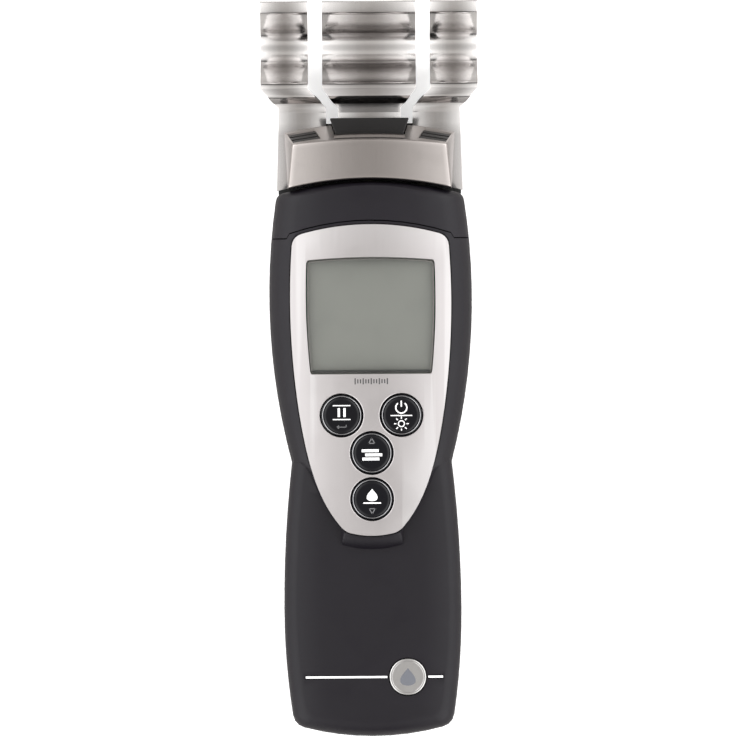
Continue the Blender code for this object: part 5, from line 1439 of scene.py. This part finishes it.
class METER_OT_window(MeterOperator, bpy.types.Operator):
    """Make the window and the display behind it"""

    bl_idname = "meter.window"
    bl_label = "Window and display"

    def make(self):
        make_window()


class METER_OT_keys(MeterOperator, bpy.types.Operator):
    """Make the four keys with their symbols"""

    bl_idname = "meter.keys"
    bl_label = "Keys"

    def make(self):
        for name in KEYS:
            x, y, height = make_key(name)
            make_symbols(name, x, y, height)


class METER_OT_blades(MeterOperator, bpy.types.Operator):
    """Make the three bent blades"""

    bl_idname = "meter.blades"
    bl_label = "Blades"

    def make(self):
        foot = COVER[1].y + 1.3 * MM
        make_blade("blade_left", foot, left_sides, True, "electrode_left")
        make_blade("blade_right", foot, right_sides, True, "electrode_right")
        make_blade("blade_centre", foot + 3.1 * MM, centre_sides, False, "electrode_centre")


class METER_OT_hood(MeterOperator, bpy.types.Operator):
    """Make the hood and the block over the blades' feet"""

    bl_idname = "meter.hood"
    bl_label = "Hood and block"

    def make(self):
        make_hood()
        make_seal()
        make_pocket_strips()
        make_block()


class METER_OT_badge(MeterOperator, bpy.types.Operator):
    """Make the round badge on the grip"""

    bl_idname = "meter.badge"
    bl_label = "Badge"

    def make(self):
        make_badge()


class METER_OT_carried(MeterOperator, bpy.types.Operator):
    """Finish the frame's own pieces that stay as they are"""

    bl_idname = "meter.carried"
    bl_label = "Inner pieces and screws"

    def make(self):
        for name, nodes in CARRIED.items():
            for label in nodes:
                paint(NODES[label], name)


class METER_OT_stage(MeterOperator, bpy.types.Operator):
    """Set up the floor, the light and the camera"""

    bl_idname = "meter.stage"
    bl_label = "Stage"

    def make(self):
        if bpy.context.scene.meter_sizes.show_floor:
            make_floor()
        make_world()
        make_camera()


class METER_PT_panel(bpy.types.Panel):
    """Buttons for the meter's pieces"""

    bl_idname = "METER_PT_panel"
    bl_label = "Moisture meter"
    bl_space_type = "VIEW_3D"
    bl_region_type = "UI"
    bl_category = "Meter"

    def draw(self, context):
        for step in STEPS:
            self.layout.operator(step.bl_idname)
        for settings in (context.scene.meter_sizes, context.scene.meter_colours):
            for name in settings.__annotations__:
                self.layout.prop(settings, name)


STEPS = (METER_OT_housing, METER_OT_door, METER_OT_shield, METER_OT_window, METER_OT_keys, METER_OT_blades,
         METER_OT_hood, METER_OT_badge, METER_OT_carried, METER_OT_stage)
CLASSES = (MeterSizes, MeterColours, *STEPS, METER_PT_panel)


def register():
    """Make the settings, operators and panel known."""
    for item in CLASSES:
        bpy.utils.register_class(item)
    bpy.types.Scene.meter_sizes = PointerProperty(type=MeterSizes)
    bpy.types.Scene.meter_colours = PointerProperty(type=MeterColours)


def unregister():
    """Take them away again."""
    del bpy.types.Scene.meter_colours
    del bpy.types.Scene.meter_sizes
    for item in reversed(CLASSES):
        bpy.utils.unregister_class(item)


def main():
    """Build every piece."""
    register()
    for step in STEPS:
        prefix, name = step.bl_idname.split(".")
        getattr(getattr(bpy.ops, prefix), name)()
    bpy.context.scene.view_settings.view_transform = "Standard"


if __name__ == "__main__":
    main()
